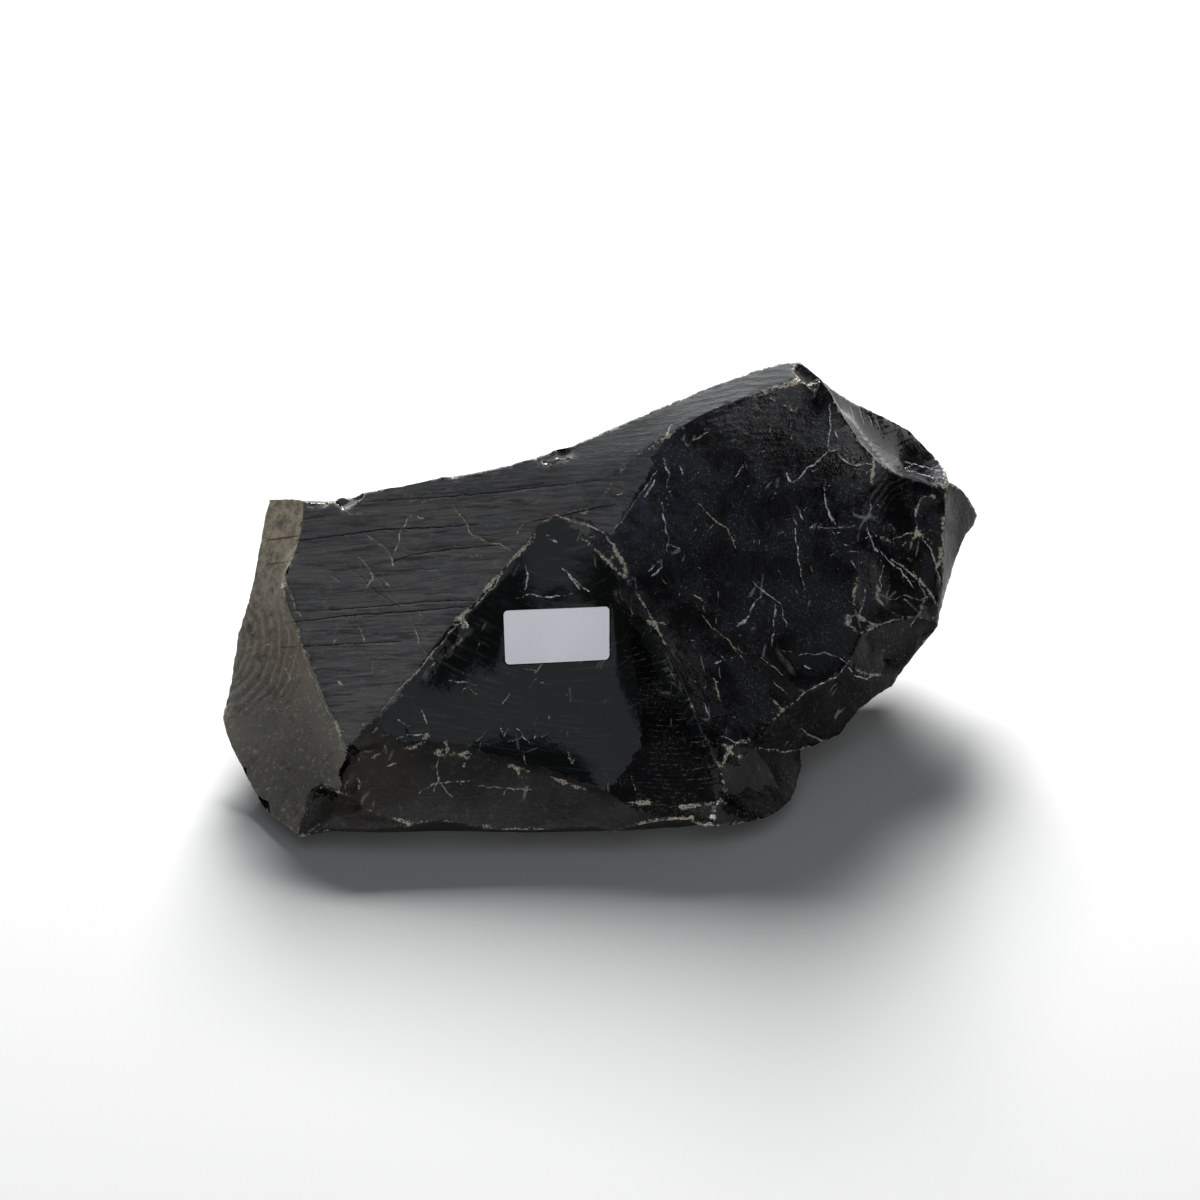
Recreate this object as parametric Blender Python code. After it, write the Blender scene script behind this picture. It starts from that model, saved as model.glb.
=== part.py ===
"""A loose chunk of obsidian, with a small blank paper sticker on its hollow face.

The chunk is one solid. Its ridges are named lines between named corners, and each facet is closed by a
chain of ridges. A facet is filled with small triangles, drawn tight over its ridges and then dished, which
gives the shallow shell-like breaks of volcanic glass. Flake scars and nicks are scooped out afterwards.

Tables are in millimetres. The scene is in metres with +Z up, and the origin is under the chunk's middle.
"""

import math
import random

import bmesh
import bpy
import numpy as np
from mathutils import Vector, noise
from mathutils.bvhtree import BVHTree

MM = 0.001

# Driving dimensions
EYE_DISTANCE = 1020.0
EYE_ELEVATION = math.radians(32.0)
PLANE_FORWARD = 3.0
PLANE_HEIGHT = 52.0
FLAT_TOWARDS = 27.7
FLAT_GAIN_ACROSS = 0.117
FLAT_LOSS_UP = 0.48
STICKER_WIDTH = 38.0
STICKER_HEIGHT = 19.2
STICKER_CORNER = 1.6
STICKER_THICKNESS = 0.25
STICKER_GAP = 0.35
STICKER_LIFT = 0.5

# Fineness of the solid
FRONT_EDGE = 8.8
FLAT_EDGE = 13.0
BACK_EDGE = 13.0
BASE_EDGE = 45.0
SHORTEST_EDGE = 0.6
RELAX_STEPS = 60
UNEVENNESS = 0.45
UNEVENNESS_RATE = 0.09
SCAR_UNEVENNESS = 0.45
SCAR_UNEVENNESS_RATE = 0.35
CHANCE_SEED = 11
NICK_DEPTH_SHARE = 0.32


def seen(across, up, towards):
    """A point that the eye sees across and up in the picture plane, and that lies nearer than the plane."""
    nearer = 1.0 - towards / EYE_DISTANCE
    rise = up * nearer
    forward = rise * math.sin(EYE_ELEVATION) - towards * math.cos(EYE_ELEVATION) + PLANE_FORWARD
    height = rise * math.cos(EYE_ELEVATION) + towards * math.sin(EYE_ELEVATION) + PLANE_HEIGHT
    return Vector((across * nearer, forward, height))


def flat(across, up):
    """A point of the weathered flat, which is one plane."""
    return seen(across, up, FLAT_TOWARDS + FLAT_GAIN_ACROSS * across - FLAT_LOSS_UP * up)


def front(point):
    """Two numbers are a point of the weathered flat, and three also say how far it lies towards the eye."""
    return flat(*point) if len(point) == 2 else seen(*point)


# Corners that the eye sees: across, up and, off the weathered flat, towards
FRONT_CORNERS = {
    "west_crest": (-119, 36, -12),
    "shoulder": (-107, 36),
    "knee": (-90.5, -54.5),
    "toe": (-88.5, -71.5, 47),
    "heel": (-107.5, -85.5, 43),
    "pocket_top": (-104.5, -69, 42),
    "pocket_low": (-95.5, -77.5, 45),
    "lip_west": (-82.5, -77, 48),
    "lip_dip": (-67.5, -81, 46),
    "foot_mid": (5, -83.5, 45),
    "foot_second": (18.5, -79.5, 44),
    "foot_third": (31.5, -79, 44),
    "foot_east": (58.5, -79, 36),
    "block_low": (68.5, -72, 24),
    "overhang": (72, -54, 12),
    "hinge": (42, -54.5, 43),
    "sill_east": (43, -72.5, 43),
    "sill_west": (7, -73, 43),
    "sill_second": (18, -72.5, 42),
    "sill_third": (31.5, -75, 43),
    "spur": (89.5, -23, 8),
    "east_notch": (107.5, -27.5, -14),
    "east_low": (121.5, -9.5, -19),
    "east_brow": (125.5, 42.5, -30),
    "tip": (136, 30.5, -52),
    "crown": (72, 86, -9),
    "crown_east": (80, 79, -9),
    "crown_low": (72.5, 79),
    "fork": (13.5, 51.5),
    "nick": (-21.5, 52),
    "peak": (-20.5, 25.5),
    "patch_top": (-70, -33),
    "patch_low": (-63, -54.5, 42),
    "sliver_top": (-131.5, -20, -3),
    "sliver_low": (-127, -64, 18),
    "flute_top": (-0.5, 18.5, 16),
}

# Corners behind and beneath: x, y, z
HIDDEN_CORNERS = {
    "base_heel": (-95, -66, 0),
    "base_south_west": (-56, -66, 0),
    "base_south": (6, -66, 0),
    "base_south_east": (46, -60, 0),
    "base_block": (59, -47, 0),
    "base_east_south": (64, -26, 0),
    "base_east": (72, 6, 0),
    "base_north_east": (60, 44, 0),
    "base_north": (4, 57, 0),
    "base_north_west": (-60, 50, 0),
    "base_west_north": (-103, 24, 0),
    "base_west": (-113, -24, 0),
    "back_west": (-118, 45, 40),
    "back_mid_west": (-64, 73, 52),
    "back_mid": (4, 84, 57),
    "back_east": (60, 90, 68),
    "back_north_east": (111, 82, 41),
    "keel": (103, 36, 11),
}

# Ridges that the eye sees
FRONT_RIDGES = {
    "west_top": ("west_crest", [(-113.5, 36.5, -8)], "shoulder"),
    "west_edge": (
        "shoulder",
        [(-106.5, 31.5), (-108.5, 21.5), (-112.5, 12.5), (-115, 4.5), (-112.5, -3)]
        + [(-108, -16), (-103.5, -25), (-99, -36.5), (-94.5, -48)],
        "knee",
    ),
    "heel_edge": ("knee", [(-89, -62, 45)], "toe"),
    "toe_pocket": ("toe", [(-93.5, -70, 46), (-100, -67.5, 44)], "pocket_top"),
    "pocket_side": ("pocket_top", [(-101, -74, 41)], "pocket_low"),
    "pocket_sill": ("pocket_low", [], "lip_west"),
    "toe_lip": ("toe", [(-85.5, -75, 48)], "lip_west"),
    "heel_rise": ("pocket_top", [(-106, -77.5, 43)], "heel"),
    "heel_floor": ("heel", [(-101, -81, 44)], "pocket_low"),
    "lip_front": ("lip_west", [(-75, -78, 48)], "lip_dip"),
    "heel_bottom": (
        "heel",
        [(-101, -84, 43), (-92, -83, 44), (-83.5, -83, 45), (-75.5, -83.5, 46)],
        "lip_dip",
    ),
    "lip_bottom": (
        "lip_dip",
        [(-61, -80, 46), (-55, -79, 46), (-51, -80, 46), (-46, -82, 46), (-36, -83, 45)]
        + [(-20, -83, 45), (-7, -82, 45), (0, -81.5, 45)],
        "foot_mid",
    ),
    "foot_bottom": ("foot_mid", [(12, -81.5, 44)], "foot_second"),
    "foot_bottom_second": ("foot_second", [(25, -79, 43)], "foot_third"),
    "foot_bottom_third": (
        "foot_third",
        [(35, -81, 43), (38.5, -82, 42), (49.5, -80.5, 39)],
        "foot_east",
    ),
    "block_bottom": ("foot_east", [(64.5, -76.5, 30)], "block_low"),
    "block_side": ("block_low", [(71.5, -66, 16), (72.5, -59.5, 11)], "overhang"),
    "sill": ("sill_west", [(12.5, -72.5, 43)], "sill_second"),
    "sill_middle": ("sill_second", [(24.5, -74, 42)], "sill_third"),
    "sill_end": ("sill_third", [(37.5, -74, 43)], "sill_east"),
    "foot_west_edge": ("sill_west", [(4, -78, 45)], "foot_mid"),
    "foot_second_edge": ("sill_second", [], "foot_second"),
    "foot_third_edge": ("sill_third", [], "foot_third"),
    "block_foot": ("sill_east", [(49.5, -75, 41), (54.5, -78, 38)], "foot_east"),
    "block_west": ("hinge", [(43.5, -59.5, 43), (44.5, -66.5, 43)], "sill_east"),
    "block_top": (
        "hinge",
        [(48.5, -54.5, 38), (56, -55.5, 31), (63, -56, 22), (67.5, -55, 17)],
        "overhang",
    ),
    "belly_low": (
        "overhang",
        [(76.5, -53, 8), (85.5, -49, 1), (96.5, -44, -7), (101, -40, -11), (103.5, -34, -14)],
        "east_notch",
    ),
    "belly_top": (
        "hinge",
        [(48.5, -52.5, 38), (56, -51, 33), (63, -43, 28), (68.5, -36.5, 24), (77.5, -31, 17)]
        + [(84.5, -27, 11)],
        "spur",
    ),
    "heel_patch_low": ("spur", [(93, -26.5, 4), (98, -28, -2), (103, -27, -8)], "east_notch"),
    "heel_patch_top": (
        "spur",
        [(90.5, -16, 8), (94, -11, 5), (102.5, -8.5, -2), (114.5, -6, -12)],
        "east_low",
    ),
    "heel_patch_side": (
        "east_low",
        [(117.5, -15, -18), (113, -20, -17), (110, -24.5, -15)],
        "east_notch",
    ),
    "end_inner": (
        "east_brow",
        [(124.5, 36, -28), (123, 27, -25), (124, 16, -24), (122.5, 3.5, -22), (121.5, -3.5, -20)],
        "east_low",
    ),
    "end_top": ("east_brow", [(129, 40.5, -37), (133.5, 36.5, -45)], "tip"),
    "end_side": (
        "tip",
        [(134.5, 26.5, -50), (131.5, 23.5, -45), (129, 18, -41), (126.5, 10, -36), (124, 0.5, -28)],
        "east_low",
    ),
    "glass_low": (
        "crown_east",
        [(83, 74.5, -8), (85.5, 69, -7), (90, 62, -8), (94.5, 56, -10), (98.5, 51, -12)]
        + [(103, 47, -15), (108.5, 44, -18), (116, 42, -23), (122.5, 40.5, -28)],
        "east_brow",
    ),
    "glass_top": (
        "crown_east",
        [(85, 75, -14), (90, 71.5, -20), (97, 68.5, -27), (105, 64.5, -34), (111, 61, -39)]
        + [(115, 57, -40), (120, 52, -39), (124, 47, -35)],
        "east_brow",
    ),
    "crown_top": ("crown", [(76.5, 82.5, -9)], "crown_east"),
    "crown_bottom": ("crown_low", [(76.5, 77.5, -3)], "crown_east"),
    "crown_west": ("crown", [(71, 82.5, -4)], "crown_low"),
    "east_face_top": (
        "crown_low",
        [(63, 76.5), (54.5, 73.5), (48.5, 71.5), (41.5, 68.5), (35, 66), (29, 62), (23, 58.5)]
        + [(18, 55.5)],
        "fork",
    ),
    "east_face_brow": ("fork", [(8, 47), (3, 42.5), (0.5, 36), (-7, 32), (-16, 30)], "peak"),
    "bend": ("nick", [(-9, 50), (2, 51.5)], "fork"),
    "skyline_west": (
        "shoulder",
        [(-97, 36), (-92, 38), (-85.5, 39), (-72, 41), (-62, 43), (-54, 45), (-45, 45.5)]
        + [(-36, 48), (-27, 50)],
        "nick",
    ),
    "skyline_east": (
        "nick",
        [(-16, 54, -1.1), (-10, 55.5, -1.1), (0, 60, -3.2), (18, 68, -5.9), (36, 75.5, -8.4)]
        + [(54, 82, -9.4), (66.5, 86, -9.8)],
        "crown",
    ),
    "hollow_edge": (
        "peak",
        [(-25, 21), (-31.5, 15), (-36.5, 9.5), (-42, 3), (-47.5, -3.5), (-53.5, -10)]
        + [(-58.5, -17.5), (-65, -26)],
        "patch_top",
    ),
    "patch_edge": ("patch_top", [(-76.5, -39.5), (-83, -45.5), (-87.5, -51)], "knee"),
    "patch_inner": ("patch_top", [(-65, -40.5, 35), (-62, -48, 38)], "patch_low"),
    "patch_foot": ("knee", [(-82, -54.5, 43), (-72, -54, 42)], "patch_low"),
    "lip": (
        "patch_low",
        [(-52, -55.5, 42), (-41.5, -57, 42), (-30.5, -60, 43), (-20, -63, 43), (-9, -67, 43)]
        + [(0, -70.5, 43)],
        "sill_west",
    ),
    "flute_brow": ("peak", [(-14.5, 25, 13), (-7, 22.5, 14)], "flute_top"),
    "flute": (
        "flute_top",
        [(3.5, 14.5, 18), (8, 9, 20), (12, 3.5, 23), (16.5, -2, 26), (20, -9.5, 29), (23.5, -16, 32)]
        + [(27.5, -24.5, 35), (31, -32.5, 37), (33.5, -39.5, 39), (36, -47, 41), (39, -51, 42)],
        "hinge",
    ),
    "flute_foot": (
        "flute_top",
        [(-0.5, 9, 9), (1, 0, 9), (4, -14.5, 13), (8.5, -32.5, 19), (13.5, -50.5, 27)]
        + [(16, -63, 35)],
        "sill_second",
    ),
    "west_side": (
        "west_crest",
        [(-121, 29, -12), (-123, 16, -10), (-126.5, 0, -8), (-130.5, -12.5, -5)],
        "sliver_top",
    ),
    "sliver_outer": (
        "sliver_top",
        [(-133, -30.5, -2), (-136, -42, 4), (-135.5, -47, 8), (-132, -54.5, 13)],
        "sliver_low",
    ),
    "sliver_inner": (
        "sliver_top",
        [(-129.5, -30.5, 4), (-128, -40.5, 9), (-128, -51, 13)],
        "sliver_low",
    ),
    "heel_side": ("sliver_low", [(-123.5, -71, 24), (-119, -78, 31), (-113, -81.5, 38)], "heel"),
}

# Ridges behind and beneath
HIDDEN_RIDGES = {
    "base_heel_edge": ("base_heel", [(-76, -67, 0)], "base_south_west"),
    "base_front_west": ("base_south_west", [(-26, -67, 0)], "base_south"),
    "base_front_east": ("base_south", [(27, -64, 0)], "base_south_east"),
    "base_front_block": ("base_south_east", [], "base_block"),
    "base_block_side": ("base_block", [], "base_east_south"),
    "base_east_side": ("base_east_south", [(69, -10, 0)], "base_east"),
    "base_east_back": ("base_east", [(68, 27, 0)], "base_north_east"),
    "base_back_east": ("base_north_east", [(33, 52, 0)], "base_north"),
    "base_back_west": ("base_north", [(-28, 56, 0)], "base_north_west"),
    "base_back_corner": ("base_north_west", [(-83, 40, 0)], "base_west_north"),
    "base_west_side": ("base_west_north", [(-111, 0, 0)], "base_west"),
    "base_west_heel": ("base_west", [(-106, -47, 0)], "base_heel"),
    "under_heel": ("heel", [], "base_heel"),
    "under_sliver": ("sliver_low", [], "base_west"),
    "under_dip": ("lip_dip", [], "base_south_west"),
    "under_mid": ("foot_mid", [], "base_south"),
    "under_third": ("foot_third", [], "base_south_east"),
    "under_block": ("block_low", [], "base_block"),
    "under_overhang": ("overhang", [], "base_east_south"),
    "west_keel": ("sliver_top", [(-130, 8, 30), (-127, 27, 33)], "back_west"),
    "west_back_edge": ("west_crest", [(-121, 37, 66), (-121, 42, 52)], "back_west"),
    "back_corner": ("back_west", [(-112, 37, 20)], "base_west_north"),
    "back_spine_west": ("back_west", [(-102, 57, 43), (-82, 67, 50)], "back_mid_west"),
    "back_spine": ("back_mid_west", [(-40, 76, 50), (-18, 82, 53)], "back_mid"),
    "back_spine_east": ("back_mid", [(24, 85, 63), (42, 89, 68)], "back_east"),
    "back_spine_end": ("back_east", [(78, 90, 61), (96, 87, 51)], "back_north_east"),
    "back_rib_west": ("nick", [(-19, 47, 84), (-11, 66, 70)], "back_mid"),
    "back_rib_east": ("crown", [(69, 70, 107), (64, 82, 88)], "back_east"),
    "back_end": ("tip", [(130, 72, 49), (120, 79, 45)], "back_north_east"),
    "lower_rib_west": ("back_mid_west", [(-66, 66, 30), (-64, 59, 14)], "base_north_west"),
    "lower_rib_east": ("back_east", [(64, 80, 48), (64, 66, 24)], "base_north_east"),
    "keel_back": ("back_north_east", [(110, 64, 23)], "keel"),
    "keel_front": ("keel", [(106, 18, 14)], "east_notch"),
    "keel_base": ("keel", [(88, 21, 5)], "base_east"),
}

# Facets: how deep each is dished, then its chain of ridges. A negative depth swells.
FACETS = {
    "weathered_flat": (
        0.5,
        ["skyline_west", "bend", "east_face_brow", "hollow_edge", "patch_edge", "west_edge"],
    ),
    "weathered_crest": (0.4, ["skyline_east", "crown_west", "east_face_top", "bend"]),
    "crown_break": (1.0, ["crown_top", "crown_bottom", "crown_west"]),
    "east_face": (
        9.0,
        ["east_face_brow", "flute_brow", "flute", "belly_top", "heel_patch_top", "end_inner"]
        + ["glass_low", "crown_bottom", "east_face_top"],
    ),
    "glass_hollow": (5.0, ["glass_top", "glass_low"]),
    "east_end": (1.5, ["end_top", "end_side", "end_inner"]),
    "heel_patch": (2.5, ["heel_patch_top", "heel_patch_side", "heel_patch_low"]),
    "belly": (2.0, ["belly_top", "heel_patch_low", "belly_low", "block_top"]),
    "block": (
        2.5,
        ["block_top", "block_side", "block_bottom", "block_foot", "block_west"],
    ),
    "foot_east_break": (
        0.8,
        ["sill_end", "block_foot", "foot_bottom_third", "foot_third_edge"],
    ),
    "foot_middle_break": (
        0.6,
        ["sill_middle", "foot_third_edge", "foot_bottom_second", "foot_second_edge"],
    ),
    "foot_west_break": (0.8, ["sill", "foot_second_edge", "foot_bottom", "foot_west_edge"]),
    "hollow_floor": (
        7.0,
        ["flute_brow", "flute_foot", "sill", "lip", "patch_inner", "hollow_edge"],
    ),
    "hollow_wall": (
        1.5,
        ["flute", "block_west", "sill_end", "sill_middle", "flute_foot"],
    ),
    "knee_patch": (1.5, ["patch_inner", "patch_foot", "patch_edge"]),
    "front_lip": (
        -2.0,
        ["patch_foot", "lip", "foot_west_edge", "lip_bottom", "lip_front", "toe_lip", "heel_edge"],
    ),
    "pocket": (3.0, ["toe_lip", "pocket_sill", "pocket_side", "toe_pocket"]),
    "pocket_cheek": (0.5, ["pocket_side", "heel_floor", "heel_rise"]),
    "heel_strip": (0.6, ["pocket_sill", "lip_front", "heel_bottom", "heel_floor"]),
    "west_face": (
        4.0,
        ["west_edge", "heel_edge", "toe_pocket", "heel_rise", "heel_side", "sliver_inner"]
        + ["west_side", "west_top"],
    ),
    "west_sliver": (0.6, ["sliver_inner", "sliver_outer"]),
    "back_upper_west": (
        6.0,
        ["west_top", "skyline_west", "back_rib_west", "back_spine", "back_spine_west"]
        + ["west_back_edge"],
    ),
    "back_upper_middle": (
        7.0,
        ["skyline_east", "back_rib_east", "back_spine_east", "back_rib_west"],
    ),
    "back_upper_east": (
        6.0,
        ["crown_top", "glass_top", "end_top", "back_end", "back_spine_end", "back_rib_east"],
    ),
    "back_lower_west": (
        3.0,
        ["back_spine_west", "lower_rib_west", "base_back_corner", "back_corner"],
    ),
    "back_lower_middle": (
        8.0,
        ["back_spine", "back_spine_east", "lower_rib_east", "base_back_east", "base_back_west"]
        + ["lower_rib_west"],
    ),
    "back_lower_east": (
        4.0,
        ["back_spine_end", "keel_back", "keel_base", "base_east_back", "lower_rib_east"],
    ),
    "end_underside": (
        3.0,
        ["end_side", "heel_patch_side", "keel_front", "keel_back", "back_end"],
    ),
    "belly_underside": (
        2.5,
        ["belly_low", "keel_front", "keel_base", "base_east_side", "under_overhang"],
    ),
    "block_underside": (
        0.5,
        ["block_side", "under_overhang", "base_block_side", "under_block"],
    ),
    "foot_underside_east": (
        0.3,
        ["foot_bottom_third", "block_bottom", "under_block", "base_front_block", "under_third"],
    ),
    "foot_underside": (
        0.3,
        ["foot_bottom", "foot_bottom_second", "under_third", "base_front_east", "under_mid"],
    ),
    "lip_underside": (0.4, ["lip_bottom", "under_mid", "base_front_west", "under_dip"]),
    "heel_underside": (0.4, ["heel_bottom", "under_dip", "base_heel_edge", "under_heel"]),
    "west_underside": (
        0.8,
        ["heel_side", "under_heel", "base_west_heel", "under_sliver"],
    ),
    "west_lower": (
        5.0,
        ["sliver_outer", "west_keel", "back_corner", "base_west_side", "under_sliver"],
    ),
    "west_upper": (3.5, ["west_side", "west_keel", "west_back_edge"]),
    "base": (
        0.0,
        ["base_heel_edge", "base_front_west", "base_front_east", "base_front_block"]
        + ["base_block_side", "base_east_side", "base_east_back", "base_back_east"]
        + ["base_back_west", "base_back_corner", "base_west_side", "base_west_heel"],
    ),
}


# Flake scars and chips that the eye sees: across, up, half width, depth, stretch, and the turn of the stretch
# in degrees from straight across
FRONT_SCARS = [
    (109, 26, 15, 2.2, 1.25, 60),
    (97, 19, 9, 1.6, 1.5, 110),
    (106, 10, 9, 2.4, 1.3, 150),
    (117, 16, 6, 2.0, 1.4, 80),
    (119, 29, 6, 1.6, 1.5, 100),
    (99, -1, 9, 1.8, 1.5, 35),
    (111, 1, 8, 2.2, 1.4, 10),
    (119, -2, 6, 1.6, 1.3, 120),
    (92, -8, 6, 1.0, 1.6, 30),
    (123, 7, 5, 1.4, 1.5, 80),
    (82, -16, 8, 1.0, 1.7, 20),
    (66, -33, 6, 1.2, 1.5, 120),
    (-90, 35.0, 4.2, 2.0, 1.3, 0),
    (-101, 35.2, 3.2, 0.8, 1.7, 10),
    (-19.5, 51.2, 3.4, 1.5, 1.5, 15),
    (-12, 52.6, 3.0, 1.3, 1.4, 20),
    (-52, 44.4, 2.2, 0.6, 1.6, 10),
    (-18, 26.5, 4.0, 1.0, 1.6, 20),
    (1.5, 20, 4.5, 1.1, 1.6, 130),
    (6.5, 13.5, 3.2, 0.9, 1.7, 125),
    (-57, -17, 4.4, 1.6, 1.8, 45),
    (-51, -11.5, 3.6, 1.3, 1.7, 45),
    (-63, -24, 3.2, 1.1, 1.7, 45),
    (-83, -45.5, 3.5, 1.0, 1.6, 40),
    (-89.3, -57.6, 2.4, 1.1, 1.6, 90),
    (-89.3, -66.6, 2.6, 1.4, 1.5, 90),
    (74, 80.5, 4.2, 1.5, 1.4, 140),
    (77.5, 77.0, 3.2, 1.0, 1.4, 100),
    (31.5, -76, 3.0, 1.0, 1.5, 0),
    (44, -53, 4.2, 1.3, 1.5, 80),
    (52, -54, 3.6, 1.1, 1.6, 0),
]

# Flake scars behind and beneath: where the blow comes from, where it aims, half width, depth, stretch
HIDDEN_SCARS = [
    ((-90, 190, 190), (-74, 52, 66), 16, 2.8, 1.4),
    ((-30, 190, 190), (-22, 58, 70), 15, 2.4, 1.3),
    ((44, 200, 190), (36, 76, 82), 18, 3.4, 1.3),
    ((100, 220, 130), (86, 84, 72), 10, 2.0, 1.4),
    ((-40, 220, 10), (-34, 60, 28), 18, 3.0, 1.5),
    ((24, 220, 20), (22, 70, 36), 20, 3.6, 1.3),
    ((94, 200, -10), (82, 70, 32), 12, 2.4, 1.4),
    ((-90, 180, 20), (-88, 50, 24), 12, 2.2, 1.3),
    ((-240, 40, 10), (-116, 18, 20), 12, 2.2, 1.4),
    ((-240, -10, -20), (-116, -12, 10), 7, 1.4, 1.6),
    ((200, 60, -40), (108, 54, 30), 12, 2.2, 1.4),
    ((130, -60, -60), (92, -4, 14), 11, 2.0, 1.4),
]

# Ridges with small nicks along them: how far apart, and how wide a nick can be
NICKED_RIDGES = {
    "hollow_edge": (9, 2.4),
    "patch_edge": (10, 2.2),
    "east_face_brow": (9, 2.4),
    "flute": (12, 2.2),
    "east_face_top": (13, 2.0),
    "skyline_west": (26, 1.6),
    "west_edge": (14, 2.2),
    "lip": (16, 2.0),
    "lip_bottom": (17, 1.8),
    "heel_bottom": (17, 1.8),
    "belly_low": (14, 2.0),
    "belly_top": (12, 2.4),
    "end_side": (14, 1.8),
    "block_bottom": (14, 1.8),
    "foot_bottom_third": (14, 1.8),
    "back_spine": (26, 3.5),
    "back_spine_east": (26, 3.5),
    "back_rib_east": (26, 3.5),
}

# The sticker's corners: across and up
STICKER_CORNERS = [(-34.9, -4.0), (3.2, -2.5), (3.2, -21.6), (-34.2, -23.4)]

# Colours: red, green and blue, then roughness
OBSIDIAN = ((0.012, 0.012, 0.014), 0.25)
PAPER = ((0.72, 0.72, 0.78), 0.6)

# Shell ripples in a facet: where the wave starts (across, up, towards), its first and last ring, its length
# and its height
RIPPLES = {
    "west_face": ((-139, -14, 0), 9, 34, 8.0, 0.4),
}
# Ridges that are rounded: the facet that is lost, the facet that takes it in, how far, how many steps
SOFT_RIDGES = {"flute_foot": ("hollow_wall", "hollow_floor", 17, 14)}


def ridge_lines():
    """Each ridge as (start name, middle points, end name), and each corner's place."""
    corners = {name: front(point) for name, point in FRONT_CORNERS.items()}
    corners.update({name: Vector(point) for name, point in HIDDEN_CORNERS.items()})
    ridges = {
        name: (start, [front(point) for point in middle], end)
        for name, (start, middle, end) in FRONT_RIDGES.items()
    }
    ridges.update(
        {
            name: (start, [Vector(point) for point in middle], end)
            for name, (start, middle, end) in HIDDEN_RIDGES.items()
        }
    )
    return corners, ridges


def outline_of(chain, corners, ridges):
    """The points round one facet, in order, read along its chain of ridges."""
    start, _, end = ridges[chain[0]]
    following = ridges[chain[1]]
    here = start if end in (following[0], following[2]) else end
    outline = []
    for name in chain:
        start, middle, end = ridges[name]
        forward = here == start
        if not forward and here != end:
            raise ValueError(f"ridge {name} doesn't start at {here}")
        outline.append(corners[here])
        outline.extend(middle if forward else reversed(middle))
        here = end if forward else start
    return outline


def ridge_frame(corners, ridges):
    """A coarse closed bmesh of all the facets, which the face layer 'facet' numbers.

    The inner edges of a facet are split before the facets are joined, so that no two facets share one.
    """
    bm = bmesh.new()
    layer = bm.faces.layers.int.new("facet")
    for number, (_, chain) in enumerate(FACETS.values()):
        outline = outline_of(chain, corners, ridges)
        face = bm.faces.new([bm.verts.new(point) for point in outline])
        face[layer] = number
        triangles = bmesh.ops.triangulate(bm, faces=[face])["faces"]
        inner = {edge for triangle in triangles for edge in triangle.edges if not edge.is_boundary}
        bmesh.ops.subdivide_edges(bm, edges=list(inner), cuts=1)
    bmesh.ops.triangulate(bm, faces=bm.faces)
    bmesh.ops.remove_doubles(bm, verts=[vert for vert in bm.verts if vert.is_boundary], dist=0.01)
    return bm, layer


def is_ridge(edge, layer):
    return len({face[layer] for face in edge.link_faces}) > 1


def inner_verts(faces, layer):
    """Vertices of some faces that lie inside one facet, off every ridge."""
    verts = {vert for face in faces for vert in face.verts}
    return [v for v in verts if len({face[layer] for face in v.link_faces}) == 1]


def split_long(bm, layer, faces, wanted):
    """Halves every edge of some faces that is longer than wanted(edge), and evens the triangles."""
    long_edges = {e for face in faces for e in face.edges if e.calc_length() > wanted(e)}
    if not long_edges:
        return False
    touched = {face[layer] for edge in long_edges for face in edge.link_faces}
    bmesh.ops.subdivide_edges(bm, edges=list(long_edges), cuts=1)
    bmesh.ops.triangulate(bm, faces=[face for face in bm.faces if len(face.verts) > 3])
    area = [face for face in bm.faces if face[layer] in touched]
    loose = {e for face in area for e in face.edges if not is_ridge(e, layer)}
    bmesh.ops.beautify_fill(bm, faces=area, edges=list(loose), method="AREA")
    return True


def relax(bm, verts, steps):
    """Draws a film tight over its rim."""
    for _ in range(steps):
        bmesh.ops.smooth_vert(
            bm, verts=verts, factor=0.5, use_axis_x=True, use_axis_y=True, use_axis_z=True
        )


def fill_facets(bm, layer):
    """Fills each outline with even triangles, drawn tight over the ridges."""
    names = list(FACETS)
    back = names.index("back_upper_west")
    fineness = [BACK_EDGE if number >= back else FRONT_EDGE for number in range(len(names))]
    fineness[names.index("weathered_flat")] = FLAT_EDGE
    fineness[names.index("base")] = BASE_EDGE
    coarse = 40.0
    while coarse > 5.0:

        def wanted(edge):
            return max(coarse, min(fineness[face[layer]] for face in edge.link_faces))

        for _ in range(4):
            if split_long(bm, layer, bm.faces, wanted):
                relax(bm, inner_verts(bm.faces, layer), 8)
        coarse /= 1.6
    relax(bm, inner_verts(bm.faces, layer), RELAX_STEPS)


def dish(bm, layer):
    """Presses each facet in, as a film bows under an even load, to its own depth."""
    bm.normal_update()
    groups = {}
    for vert in inner_verts(bm.faces, layer):
        groups.setdefault(vert.link_faces[0][layer], []).append(vert)
    normals = {}
    for face in bm.faces:
        weighted = face.normal * face.calc_area()
        normals[face[layer]] = normals.get(face[layer], Vector()) + weighted
    depths = [depth for depth, _ in FACETS.values()]
    for number, verts in groups.items():
        row = {vert: i for i, vert in enumerate(verts)}
        matrix = np.zeros((len(verts), len(verts)))
        for vert, i in row.items():
            for edge in vert.link_edges:
                matrix[i, i] += 1.0
                j = row.get(edge.other_vert(vert))
                if j is not None:
                    matrix[i, j] -= 1.0
        bow = np.linalg.solve(matrix, np.ones(len(verts)))
        bow *= depths[number] / bow.max()
        inward = -normals[number].normalized()
        for vert, i in row.items():
            vert.co += inward * float(bow[i])


def roughen(bm):
    """Makes the ridges and facets a little uneven, above the base."""
    for vert in bm.verts:
        if vert.co.z > 1.0:
            vert.co += noise.noise_vector(vert.co * UNEVENNESS_RATE) * UNEVENNESS


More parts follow.
